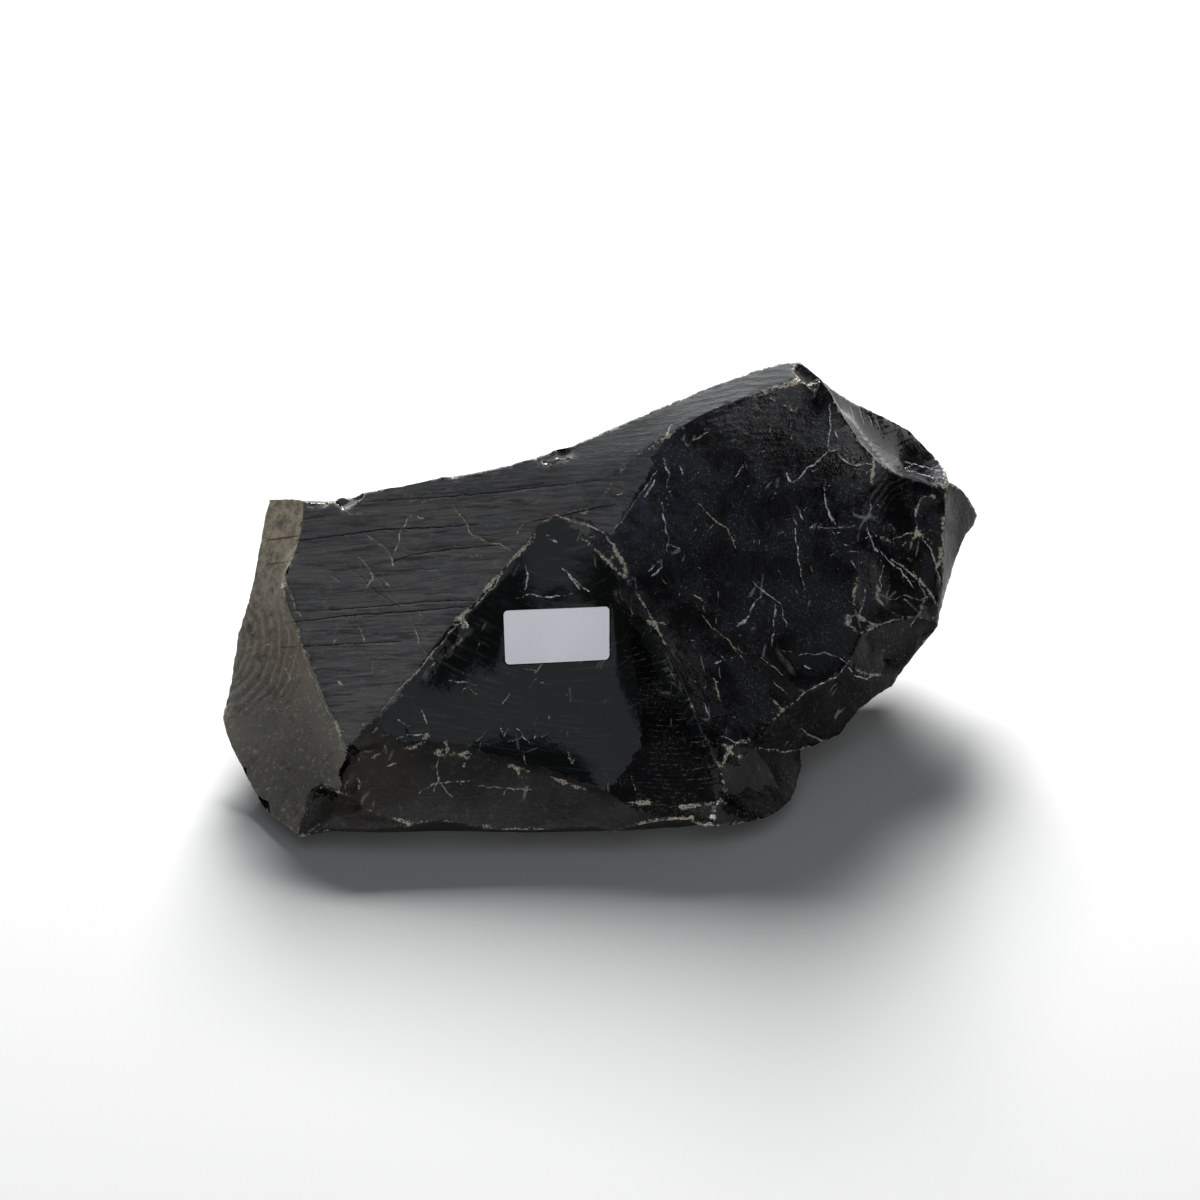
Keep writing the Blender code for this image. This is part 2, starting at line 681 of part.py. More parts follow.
def soften(bm, layer, ridges, corners):
    """Rounds a ridge between two facets that are one fracture, and makes them one facet."""
    names = list(FACETS)
    for name, (lost, kept, distance, steps) in SOFT_RIDGES.items():
        start, middle, end = ridges[name]
        line = [corners[start], *middle, corners[end]]
        number = names.index(kept)
        for face in bm.faces:
            if face[layer] == names.index(lost):
                face[layer] = number
        inside = inner_verts([face for face in bm.faces if face[layer] == number], layer)
        near = [v for v in inside if min((v.co - point).length for point in line) < distance]
        relax(bm, near, steps)


def ripple(bm, layer):
    """Raises the rings that a blow leaves in a facet, fading out at both ends."""
    bm.normal_update()
    for name, (start, first, last, wave, height) in RIPPLES.items():
        source = seen(*start)
        number = list(FACETS).index(name)

        def share(place):
            return ((place - source).length - first) / (last - first)

        def wanted(edge):
            middle = (edge.verts[0].co + edge.verts[1].co) / 2.0
            inside = {face[layer] for face in edge.link_faces} == {number}
            return wave / 2.1 if inside and -0.05 < share(middle) < 1.05 else 1000.0

        for _ in range(3):
            split_long(bm, layer, [face for face in bm.faces if face[layer] == number], wanted)
        inside = inner_verts([face for face in bm.faces if face[layer] == number], layer)
        relax(bm, [vert for vert in inside if 0.0 < share(vert.co) < 1.0], 6)
        bm.normal_update()
        for vert in inside:
            along = share(vert.co)
            if 0.0 < along < 1.0:
                turns = (vert.co - source).length / wave
                lift = math.sin(2.0 * math.pi * turns) * math.sin(math.pi * along)
                vert.co += vert.normal * (height * lift)


def bowl(centre, inward, sideways, half_width, depth, stretch):
    """A function that is negative inside the bowl that a flake leaves, and positive outside it."""
    radius = (half_width ** 2 + depth ** 2) / (2.0 * depth)
    middle = -inward * (radius - depth)

    def level(place):
        offset = place - centre
        offset -= sideways * (offset.dot(sideways) * (1.0 - 1.0 / stretch))
        uneven = noise.noise(place * SCAR_UNEVENNESS_RATE / math.sqrt(half_width)) * depth * SCAR_UNEVENNESS
        return (offset - middle).length - radius + uneven

    return level


def crossing(level, inner, outer):
    """The place between inner and outer where level changes sign, and how far along it lies."""
    low, high = 0.0, 1.0
    for _ in range(24):
        share = (low + high) / 2.0
        if level(inner.lerp(outer, share)) < 0.0:
            low = share
        else:
            high = share
    return high


def cut_rim(bm, layer, level, centre, reach, number):
    """Cuts a bowl's outline into the skin, and gives the faces within it a facet number."""
    inside = {v for v in bm.verts if (v.co - centre).length < reach and level(v.co) < 0.0}
    border = {edge for vert in inside for edge in vert.link_edges if edge.other_vert(vert) not in inside}
    rim = set()
    for edge in border:
        inner = edge.verts[0] if edge.verts[0] in inside else edge.verts[1]
        outer = edge.other_vert(inner)
        if level(outer.co) > 0.0:
            share = crossing(level, inner.co, outer.co)
            rim.add(bmesh.utils.edge_split(edge, inner, min(max(share, 0.04), 0.96))[1])
        else:
            rim.add(outer)
    bmesh.ops.connect_verts(bm, verts=list(rim))
    for face in {face for vert in inside for face in vert.link_faces}:
        if all(vert in inside or vert in rim for vert in face.verts):
            face[layer] = number
    bmesh.ops.triangulate(bm, faces=[face for face in bm.faces if len(face.verts) > 3])


def scoop(bm, layer, centre, inward, sideways, size, number):
    """Takes a flake off, which leaves a shallow bowl with a sharp rim."""
    half_width, depth, stretch = size
    level = bowl(centre, inward, sideways, half_width, depth, stretch)
    cut_rim(bm, layer, level, centre, 1.3 * half_width * stretch, number)
    step = max(half_width / 1.6, 1.6)
    for _ in range(3):
        split_long(bm, layer, [face for face in bm.faces if face[layer] == number], lambda edge: step)
    film = inner_verts([face for face in bm.faces if face[layer] == number], layer)
    relax(bm, film, 30)
    for vert in film:
        beyond = vert.co + inward * (3.0 * depth)
        if level(vert.co) < 0.0 < level(beyond):
            vert.co = vert.co.lerp(beyond, crossing(level, vert.co, beyond))


def struck(bm, start, aim):
    """Where a line from start through aim meets the skin."""
    place = BVHTree.FromBMesh(bm).ray_cast(start, (aim - start).normalized())[0]
    if place is None:
        raise ValueError(f"no skin between {start} and {aim}")
    return place


def strike(bm, layer, centre, along, size, number):
    """Scoops straight into the rock at a place, with the stretch as near to along as the skin allows."""
    bm.normal_update()
    near = max(size[0], 6.0)
    inward = Vector()
    for face in bm.faces:
        if (face.calc_center_median() - centre).length < near:
            inward -= face.normal * face.calc_area()
    inward.normalize()
    sideways = (along - inward * along.dot(inward)).normalized()
    scoop(bm, layer, centre, inward, sideways, size, number)


def flake(bm, layer, ridges, corners):
    """Takes off the flakes and chips, then nicks the sharp ridges."""
    chance = random.Random(CHANCE_SEED)
    number = len(FACETS)
    for start, aim, *size in HIDDEN_SCARS:
        centre = struck(bm, Vector(start), Vector(aim))
        along = Vector((chance.uniform(-1.0, 1.0), chance.uniform(-1.0, 1.0), chance.uniform(-1.0, 1.0)))
        strike(bm, layer, centre, along, size, number)
        number += 1
    eye = seen(0.0, 0.0, EYE_DISTANCE)
    for across, up, half_width, depth, stretch, turn in FRONT_SCARS:
        centre = struck(bm, eye, seen(across, up, 0.0))
        turn = math.radians(turn)
        along = seen(math.cos(turn), math.sin(turn), 0.0) - seen(0.0, 0.0, 0.0)
        strike(bm, layer, centre, along, (half_width, depth, stretch), number)
        number += 1
    for name, (apart, widest) in NICKED_RIDGES.items():
        start, middle, end = ridges[name]
        line = [corners[start], *middle, corners[end]]
        for first, second in zip(line, line[1:]):
            if chance.random() < (second - first).length / apart:
                place = first.lerp(second, chance.uniform(0.15, 0.85))
                half_width = widest * chance.uniform(0.55, 1.0)
                size = (half_width, half_width * NICK_DEPTH_SHARE, chance.uniform(1.1, 2.0))
                strike(bm, layer, place, second - first, size, number)
                number += 1


def tidy(bm):
    """Merges the ends of very short edges wherever that keeps the skin whole, and levels the base."""
    for edge in [edge for edge in bm.edges if edge.calc_length() < SHORTEST_EDGE]:
        if edge.is_valid and edge.calc_length() < SHORTEST_EDGE:
            first, second = edge.verts
            beside = {e.other_vert(first) for e in first.link_edges}
            beside &= {e.other_vert(second) for e in second.link_edges}
            if len(beside) == 2 and all(len(vert.link_edges) > 3 for vert in beside):
                place = (first.co + second.co) / 2.0
                bmesh.ops.pointmerge(bm, verts=[first, second], merge_co=place)
    for vert in bm.verts:
        if vert.co.z < SHORTEST_EDGE:
            vert.co.z = 0.0
    bmesh.ops.recalc_face_normals(bm, faces=bm.faces)


def obsidian_mesh():
    corners, ridges = ridge_lines()
    bm, layer = ridge_frame(corners, ridges)
    fill_facets(bm, layer)
    bmesh.ops.recalc_face_normals(bm, faces=bm.faces)
    dish(bm, layer)
    soften(bm, layer, ridges, corners)
    ripple(bm, layer)
    roughen(bm)
    flake(bm, layer, ridges, corners)
    tidy(bm)
    return bm


def rounded(u, v):
    """A point of the sticker's rectangle, drawn in near a corner so that the corner is an arc."""
    radius = STICKER_CORNER
    core_u = min(max(u, radius), STICKER_WIDTH - radius)
    core_v = min(max(v, radius), STICKER_HEIGHT - radius)
    p = (u - core_u) / radius
    q = (v - core_v) / radius
    u = core_u + radius * p * math.sqrt(1.0 - q * q / 2.0)
    v = core_v + radius * q * math.sqrt(1.0 - p * p / 2.0)
    return u / STICKER_WIDTH, v / STICKER_HEIGHT


def sticker_lines(length, cells):
    """Where the grid lines of the sticker lie along one side: close together at the round corners."""
    radius = STICKER_CORNER
    close = [radius * share / 3.0 for share in range(3)]
    inner = [radius + (length - 2.0 * radius) * i / cells for i in range(cells + 1)]
    return close + inner + [length - place for place in reversed(close)]


def sticker_mesh(rock):
    """Thin paper that follows the hollow, with its right end a little lifted."""
    tree = BVHTree.FromBMesh(rock)
    eye = seen(0.0, 0.0, EYE_DISTANCE)
    left_top, right_top, right_low, left_low = (seen(*corner, 0.0) for corner in STICKER_CORNERS)
    across = sticker_lines(STICKER_WIDTH, 9)
    down = sticker_lines(STICKER_HEIGHT, 4)
    places = []
    facing = Vector()
    for v in down:
        for u in across:
            share_u, share_v = rounded(u, v)
            aim = left_top.lerp(right_top, share_u).lerp(left_low.lerp(right_low, share_u), share_v)
            place, normal, _, _ = tree.ray_cast(eye, (aim - eye).normalized())
            places.append((place, STICKER_GAP + STICKER_LIFT * max(0.0, share_u - 0.8) * 5.0))
            facing += normal
    facing.normalize()
    bm = bmesh.new()
    under = [bm.verts.new(place + facing * gap) for place, gap in places]
    over = [bm.verts.new(place + facing * (gap + STICKER_THICKNESS)) for place, gap in places]
    columns = len(across)
    rows = len(down)
    for row in range(rows - 1):
        for column in range(columns - 1):
            i = row * columns + column
            quad = (i, i + columns, i + columns + 1, i + 1)
            bm.faces.new([over[k] for k in quad])
            bm.faces.new([under[k] for k in reversed(quad)])
    edge = [i for i in range(columns - 1)]
    edge += [row * columns + columns - 1 for row in range(rows - 1)]
    edge += [rows * columns - 1 - i for i in range(columns - 1)]
    edge += [row * columns for row in range(rows - 1, 0, -1)]
    for i, j in zip(edge, edge[1:] + edge[:1]):
        bm.faces.new([over[i], over[j], under[j], under[i]])
    bmesh.ops.recalc_face_normals(bm, faces=bm.faces)
    return bm


def add_object(name, bm, look):
    colour, roughness = look
    mesh = bpy.data.meshes.new(name)
    bm.to_mesh(mesh)
    bm.free()
    material = bpy.data.materials.new(name)
    material.use_nodes = True
    shader = material.node_tree.nodes["Principled BSDF"]
    shader.inputs["Base Color"].default_value = (*colour, 1.0)
    shader.inputs["Roughness"].default_value = roughness
    shader.inputs["Metallic"].default_value = 0.0
    mesh.materials.append(material)
    obj = bpy.data.objects.new(name, mesh)
    bpy.context.scene.collection.objects.link(obj)


def place_and_scale(rock, others):
    """Puts the origin under the rock's middle, and turns millimetres into metres."""
    xs = [vert.co.x for vert in rock.verts]
    ys = [vert.co.y for vert in rock.verts]
    middle = Vector(((min(xs) + max(xs)) / 2.0, (min(ys) + max(ys)) / 2.0, 0.0))
    for bm in (rock, *others):
        bmesh.ops.translate(bm, vec=-middle, verts=bm.verts)
        bmesh.ops.scale(bm, vec=(MM, MM, MM), verts=bm.verts)


def clear_scene():
    for obj in list(bpy.data.objects):
        bpy.data.objects.remove(obj)


def main():
    clear_scene()
    rock = obsidian_mesh()
    sticker = sticker_mesh(rock)
    place_and_scale(rock, [sticker])
    add_object("obsidian_chunk", rock, OBSIDIAN)
    add_object("paper_sticker", sticker, PAPER)


main()
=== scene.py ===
"""The looks of a chunk of obsidian with a small blank sticker, on a pale floor in soft light.

The chunk's solid is copied, made finer, and given its ripples, cracks, bruises and crushed ridges, with
painted glints, painted highlights and painted shade. Places on the chunk are named by pixels of the picture,
and are found by looking from the eye onto the stone.
"""

import math
import random

import bmesh
import bpy
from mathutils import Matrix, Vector, noise
from mathutils.bvhtree import BVHTree
from mathutils.kdtree import KDTree


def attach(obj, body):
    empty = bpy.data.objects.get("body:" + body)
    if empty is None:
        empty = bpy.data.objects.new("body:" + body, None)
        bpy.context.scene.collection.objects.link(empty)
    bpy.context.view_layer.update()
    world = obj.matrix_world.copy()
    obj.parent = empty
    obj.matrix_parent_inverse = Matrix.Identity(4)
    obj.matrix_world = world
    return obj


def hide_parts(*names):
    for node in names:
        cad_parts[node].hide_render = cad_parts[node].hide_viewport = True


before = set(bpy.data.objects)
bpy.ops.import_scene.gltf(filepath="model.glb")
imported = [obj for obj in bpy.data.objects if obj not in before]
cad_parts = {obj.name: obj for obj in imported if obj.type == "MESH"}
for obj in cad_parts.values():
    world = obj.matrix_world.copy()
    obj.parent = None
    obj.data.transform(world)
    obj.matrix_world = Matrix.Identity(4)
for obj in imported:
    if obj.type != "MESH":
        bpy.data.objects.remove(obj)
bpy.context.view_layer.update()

# The eye: how far it is from the picture's plane, and how steeply it looks down
EYE_DISTANCE = 1.020
EYE_ELEVATION = math.radians(32.0)
PICTURE_MIDDLE = Vector((-0.003728, -0.003064, 0.052))
PICTURE_PIXELS = 1200
PIXEL = 0.00036
LENS = 85.0
SENSOR = 36.0
CLIP_START = 0.01
TOWARDS_EYE = Vector((0.0, -math.cos(EYE_ELEVATION), math.sin(EYE_ELEVATION)))
PICTURE_UP = Vector((0.0, math.sin(EYE_ELEVATION), math.cos(EYE_ELEVATION)))
EYE = PICTURE_MIDDLE + TOWARDS_EYE * EYE_DISTANCE

# Fineness of the stone, as edge lengths. The passes split it from coarse to fine
SEEN_EDGE = 0.00125
HIDDEN_EDGE = 0.0027
FIELD_EDGE = 0.00085
MARK_EDGE = 0.00063
MARK_REACH = 0.0008
WHOLE_EDGE = 1.0
SPLIT_PASSES = (8.0, 4.0, 2.0, 1.35)
MARK_PASSES = (1.6, 1.0)
SMOOTH_STEPS = 3
MERGE_REACH = 1e-6

# How a face counts as sharp against its neighbour, as under the base, as turned away, or as like its facet
SHARP_ANGLE = math.radians(24.0)
SHADED_SHARP_ANGLE = math.radians(32.0)
BASE_FACING = -0.99
UNDER_FACING = -0.9
HIDDEN_FACING = -0.05
FACET_TURN = 0.72
SEEN_CLOSE = 0.002

# Heights above the floor under which the smoothing and the carving leave the base alone
SMOOTHED_ABOVE = 0.0004
CARVED_ABOVE = 0.0006

# How far marks and ridges reach beside their line, how deep the ridges crumble, and how the skin swells
MARK_MARGIN = 0.00026
RIDGE_REACH = 0.0030
RIDGE_CHIPS = 0.00042
RING_HEIGHT = 0.0002
RING_WOBBLE = 0.45
SKIN_SWELL = 0.00004

# Scales of the noise that roughens marks, swells the skin, and breaks the ridges into lumps and crumbs, and
# the strengths of the last two beside what always crumbles
MARK_GRAIN = 900.0
SWELL_GRAIN = 120.0
LUMP_GRAIN = 420.0
CRUMB_GRAIN = 1100.0
CRUMBLED = 0.4
LUMPS = 1.1
CRUMBS = 0.7

# The sticker, in pixels and metres, and the round edge of its paper
STICKER_MIDDLE = (558, 640)
STICKER_REACH = 0.009
STICKER_BELOW = 0.0006
PAPER_ROUND = 0.00006
PAPER_RIM_ANGLE = 1.0
PAPER_SHARP_ANGLE = math.radians(40.0)

# The floor lies just under the flat base, so that the two faces never share a plane
FLOOR_BELOW = 0.0001
FLOOR_REACH = 4.0

# Finishes, as material slots of the stone
# The last finish is a darker, less glossy copy of the bruised glass; where it is laid on seen places it is
# painted shade.
GLASS, WEATHERED, TAN, LIP, BRUISED, DARK_GLASS_AND_PAINTED_SHADE = range(6)

# Lines on the stone in pixels: kind, half width in pixels, points
LINES = [
    ("crack", 0.9, [(296, 541), (340, 535), (385, 529), (440, 527), (478, 524)]),
    ("crack", 0.6, [(392, 562), (410, 555), (450, 549), (500, 545)]),
    ("crack", 0.8, [(288, 622), (320, 619), (350, 615), (400, 612), (470, 606)]),
    ("crack", 0.5, [(330, 610), (380, 606), (430, 601), (480, 600)]),
    ("crack", 0.6, [(360, 502), (420, 498), (480, 494), (540, 487), (600, 480)]),
    ("crack", 0.8, [(532, 521), (560, 516), (590, 509), (616, 504)]),
    ("crack", 0.5, [(280, 647), (330, 645), (400, 641)]),
    ("rust", 1.1, [(268, 540), (282, 538), (298, 536)]),
    ("rust", 0.9, [(266, 564), (280, 563), (291, 561)]),
    ("tan", 1.3, [(452, 504), (462, 518), (470, 531), (484, 541), (500, 544), (514, 552)]),
    ("pale", 1.6, [(380, 545), (388, 552), (394, 565)]),
    ("tan", 1.4, [(366, 534), (374, 540), (383, 546)]),
    ("pale", 1.0, [(410, 515), (400, 533), (396, 552)]),
    ("pale", 1.0, [(416, 516), (424, 518)]),
    ("pale", 1.0, [(423, 501), (434, 500)]),
    ("pale", 1.0, [(370, 570), (372, 580), (366, 588)]),
    ("tan", 1.0, [(382, 577), (390, 586)]),
    ("tan", 0.5, [(358, 555), (378, 580), (398, 604)]),
    ("pale", 0.9, [(297, 611), (301, 618)]),
    ("pale", 0.8, [(332, 575), (340, 581)]),
    ("pale", 0.9, [(359, 625), (364, 640)]),
    ("tan", 0.6, [(412, 620), (418, 640), (424, 652)]),
    ("pale", 1.6, [(338, 680), (343, 685)]),
    ("pale", 1.0, [(373, 662), (372, 672)]),
    ("pale", 0.8, [(312, 670), (318, 666)]),
    ("pale", 0.7, [(332, 645), (337, 640)]),
    ("pale", 2.0, [(286, 668), (290, 680)]),
    ("pale", 0.8, [(262, 646), (272, 643)]),
    ("arc", 0.6, [(345, 560), (365, 582), (385, 598), (400, 608)]),
    ("pale", 0.8, [(437, 760), (438, 778), (434, 792)]),
    ("tan", 0.9, [(418, 794), (436, 783), (470, 781)]),
    ("tan", 0.8, [(472, 786), (500, 787), (532, 790)]),
    ("pale", 0.7, [(440, 784), (452, 796)]),
    ("pale", 0.8, [(476, 741), (486, 732)]),
    ("pale", 0.9, [(500, 728), (503, 737), (508, 729)]),
    ("pale", 0.9, [(516, 728), (524, 738), (530, 745)]),
    ("pale", 0.9, [(536, 732), (533, 740)]),
    ("pale", 0.9, [(541, 738), (547, 734)]),
    ("pale", 0.7, [(524, 752), (526, 764)]),
    ("pale", 0.9, [(567, 752), (572, 764), (575, 758)]),
    ("pale", 0.8, [(630, 776), (636, 790)]),
    ("pale", 0.7, [(450, 680), (462, 682), (476, 684)]),
    ("tan", 0.7, [(466, 684), (474, 694)]),
    ("pale", 0.6, [(503, 704), (511, 692)]),
    ("pale", 1.1, [(549, 718), (550, 719)]),
    ("pale", 1.0, [(423, 711), (426, 722)]),
    ("pale", 1.2, [(408, 734), (422, 734)]),
    ("pale", 1.3, [(370, 758), (381, 752)]),
    ("pale", 0.9, [(388, 766), (396, 763)]),
    # The glint lines are painted highlights: pale marks where the glass glints in the light.
    ("painted_glint", 1.0, [(526, 566), (528, 577), (524, 590)]),
    ("painted_glint", 1.3, [(561, 566), (572, 578), (588, 592)]),
    ("painted_glint", 0.9, [(566, 572), (580, 588)]),
    ("painted_glint", 0.8, [(516, 598), (532, 595), (550, 597), (574, 594)]),
    ("painted_glint", 1.6, [(551, 539), (557, 543)]),
    ("tan", 0.8, [(524, 668), (538, 671)]),
    ("tan", 0.8, [(533, 674), (541, 666)]),
    ("pale", 1.6, [(645, 497), (650, 488), (655, 480)]),
    ("pale", 0.9, [(664, 458), (668, 474), (667, 488)]),
    ("pale", 1.0, [(680, 464), (684, 474)]),
    ("tan", 0.9, [(693, 440), (708, 433)]),
    # Two more painted glints.
    ("painted_glint", 1.2, [(648, 571), (658, 562)]),
    ("painted_glint", 1.4, [(652, 576), (662, 567)]),
    ("pale", 0.8, [(662, 503), (664, 522), (668, 540), (668, 552)]),
    ("pale", 0.6, [(668, 545), (680, 549)]),
    ("tan", 0.8, [(697, 503), (712, 517), (727, 529), (735, 548)]),
    ("pale", 2.2, [(788, 474), (791, 482)]),
    ("pale", 0.8, [(793, 482), (812, 466), (830, 451)]),
    ("tan", 1.1, [(828, 451), (838, 449)]),
    ("pale", 0.7, [(830, 404), (830, 430), (829, 450)]),
    ("pale", 1.1, [(834, 430), (838, 438)]),
    ("pale", 0.7, [(838, 455), (850, 466), (868, 464)]),
    ("tan", 0.9, [(850, 466), (862, 463), (878, 466)]),
    ("pale", 1.4, [(770, 398), (774, 402)]),
    ("tan", 1.6, [(784, 405), (792, 411)]),
    ("pale", 1.2, [(796, 505), (800, 514), (803, 520)]),
    ("tan", 0.9, [(792, 516), (796, 524)]),
    ("pale", 0.7, [(795, 528), (797, 550), (801, 572), (806, 589)]),
    ("pale", 0.8, [(823, 485), (827, 508), (836, 524)]),
    ("tan", 0.8, [(818, 527), (842, 529), (856, 526)]),
    ("pale", 1.3, [(828, 514), (833, 522)]),
    ("pale", 1.4, [(796, 590), (797, 594)]),
    ("tan", 1.1, [(694, 595), (706, 602)]),
    ("pale", 2.2, [(738, 627), (748, 617)]),
    ("pale", 0.8, [(748, 617), (755, 602), (764, 593)]),
    ("pale", 0.7, [(752, 582), (766, 594), (780, 604)]),
    ("pale", 0.7, [(775, 604), (774, 630), (772, 646)]),
    ("pale", 0.8, [(781, 604), (786, 628)]),
    ("tan", 1.4, [(702, 616), (716, 630), (730, 642), (742, 654)]),
    ("tan", 1.0, [(734, 648), (746, 663)]),
    ("tan", 1.1, [(761, 657), (774, 668), (782, 675)]),
    ("tan", 0.9, [(772, 679), (788, 695)]),
    ("pale", 1.0, [(715, 663), (722, 660)]),
    ("tan", 1.2, [(713, 678), (718, 690), (720, 702)]),
    ("pale", 1.2, [(704, 704), (710, 716)]),
    ("pale", 1.3, [(803, 665), (809, 668)]),
    ("pale", 0.8, [(800, 655), (824, 653), (838, 656), (848, 664)]),
    ("pale", 0.9, [(848, 664), (836, 677), (816, 687), (800, 695)]),
    ("pale", 0.8, [(849, 668), (855, 676), (866, 679), (882, 674)]),
    # These two short pale marks at the crushed right end are painted glints.
    ("pale", 1.7, [(872, 546), (878, 552)]),
    ("pale", 0.8, [(868, 530), (874, 545)]),
    ("pale", 0.9, [(880, 552), (892, 563), (902, 572), (914, 588)]),
    ("tan", 1.0, [(893, 540), (908, 534), (924, 530)]),
    ("pale", 1.0, [(903, 546), (906, 542)]),
    ("pale", 0.8, [(884, 566), (880, 580), (882, 590)]),
    ("pale", 0.8, [(866, 590), (862, 604), (860, 620)]),
    ("tan", 1.0, [(888, 600), (902, 596), (920, 600), (934, 596)]),
    ("pale", 0.9, [(866, 626), (884, 623), (902, 618)]),
    ("tan", 0.9, [(914, 570), (920, 584), (928, 600)]),
    ("pale", 0.7, [(850, 560), (856, 568)]),
    ("pale", 0.8, [(720, 737), (736, 741), (750, 743)]),
    # These strokes and thin lines on the glossy scar at the upper right are painted highlights.
    ("pale", 1.1, [(852, 408), (855, 420)]),
    ("pale", 1.2, [(860, 411), (864, 423)]),
    ("pale", 1.1, [(868, 414), (873, 427)]),
    ("pale", 0.9, [(876, 418), (881, 430)]),
    ("pale", 0.6, [(862, 432), (880, 449), (902, 461), (938, 470)]),
    ("pale", 0.5, [(858, 440), (874, 457), (898, 469), (934, 477)]),
    ("pale", 0.6, [(846, 398), (862, 402), (884, 412), (910, 430)]),
    ("crush", 2.2, [(543, 521), (556, 515), (572, 520), (590, 526), (604, 532)]),
    ("crush", 1.8, [(598, 528), (610, 540), (620, 556)]),
    ("crush", 1.2, [(612, 534), (628, 512), (636, 500)]),
    ("crush", 1.0, [(636, 500), (648, 484), (658, 470)]),
    ("pale", 1.2, [(662, 440), (668, 432), (672, 424)]),
    ("crush", 1.4, [(288, 560), (284, 575), (290, 592), (296, 612)]),
    ("crush", 1.0, [(300, 640), (308, 670), (322, 702), (336, 728), (344, 750)]),
    ("crush", 1.1, [(380, 712), (398, 690), (420, 668), (440, 644), (470, 612)]),
    ("crush", 1.0, [(470, 612), (492, 588), (512, 560), (534, 534)]),
    ("crush", 1.6, [(304, 503), (318, 507), (330, 502)]),
    ("pale", 1.0, [(342, 508), (350, 514), (362, 514)]),
    ("crush", 1.6, [(538, 462), (552, 465), (568, 458)]),
    ("crush", 1.5, [(796, 378), (808, 384), (818, 378)]),
    ("crush", 1.4, [(800, 728), (822, 742), (848, 740)]),
    ("crush", 1.5, [(893, 560), (912, 575), (930, 590), (940, 610)]),
    ("crush", 1.5, [(905, 600), (920, 612), (912, 628)]),
    ("crush", 1.3, [(925, 540), (935, 560), (942, 585)]),
    ("pale", 0.6, [(760, 748), (780, 752), (800, 749)]),
]

# Rings that a blow leaves, which spread from a pixel: the pixel, a pixel in the middle of the field, the
# field's radius, the ring spacing and the ring height, all but the last in pixels
RINGS = [
    ((200, 640), (250, 655), 72, 8.0, 0.00020),
    ((930, 535), (868, 500), 52, 6.5, 0.00009),
    ((790, 720), (745, 415), 75, 6.5, 0.00005),
    ((850, 330), (895, 448), 52, 6.0, 0.00010),
]

# Where the hackle lines start and end, from the top row to the bottom row, in pixels
HACKLE_SIDES = (
    [(612, 652), (630, 690), (640, 735), (622, 775), (600, 800)],
    [(650, 640), (686, 690), (708, 735), (718, 775), (716, 812)],
)
HACKLE_ROWS = 31
HACKLE_SEED = 5
HACKLE_STEPS = 4
HACKLE_BOW = 3.0
HACKLE_HALF_WIDTHS = (0.4, 0.8)

# Shares of a row: where its first line starts, how long lines and gaps are, and where the last may start
HACKLE_STARTS = (-0.05, 0.35)
HACKLE_LENGTHS = (0.15, 0.6)
HACKLE_GAPS = (0.05, 0.3)
HACKLE_LAST_START = 0.9

# Stray scratches: the middle of a patch, its spread and how many
STRAYS = [
    ((740, 500), 150, 90),
    ((720, 640), 80, 50),
    ((880, 560), 70, 70),
    ((860, 470), 50, 25),
    ((430, 590), 130, 28),
    ((280, 700), 70, 26),
    ((500, 800), 130, 34),
    ((390, 740), 35, 22),
    ((520, 690), 90, 22),
    ((780, 730), 50, 14),
]
STRAY_SEED = 8
STRAY_SHORT = (1.5, 4.0)
STRAY_LONG = (4.0, 14.0)
STRAY_SHORT_SHARE = 0.6
STRAY_HALF_WIDTHS = (0.15, 0.6)
STRAY_KINDS = ("faint", "faint", "faint", "pale", "tan")

# How the lines wander beside their points, in pixels, and how close together they are sampled
WOBBLE = 2.2
SWAY = 0.11
SECOND_SWAY = Vector((0.0, 0.0, 7.0))
STEADY = 0.3
STEADY_KINDS = ("crack", "rust", "hackle")
SAMPLE_STEP = 0.8

# How thin a line is at its ends, and the share of it that counts as an end
THIN_END = 0.35
LINE_END = 0.08

# Marks by kind: strength, tint from the hackle's painted highlight -1 through pale 0 to tan 1, darkness,
# rust, and how deep they are cut
KINDS = {
    "pale": (1.15, 0.0, 0.0, 0.0, 0.00010),
    "faint": (0.62, 0.2, 0.0, 0.0, 0.00005),
    "tan": (1.1, 1.0, 0.0, 0.0, 0.00010),
    # A glint is a painted highlight: a pale mark with no depth.
    "painted_glint": (1.1, 0.0, 0.0, 0.0, 0.0),
    "crush": (1.1, 0.6, 0.0, 0.0, 0.00030),
    # The hackle lines are raised a little, and their grey is a painted highlight on their ridges.
    "hackle": (0.90, -1.0, 0.0, 0.0, -0.00006),
    "crack": (0.0, 0.0, 1.0, 0.0, 0.00022),
    "arc": (0.0, 0.0, 0.7, 0.0, 0.00010),
    "rust": (0.0, 0.0, 0.0, 1.0, 0.00018),
}

# What the stone's skin keeps at each point for its materials
SKIN_LAYERS = ("bruise_and_highlight", "tint", "crack", "rust", "ridge", "ring")

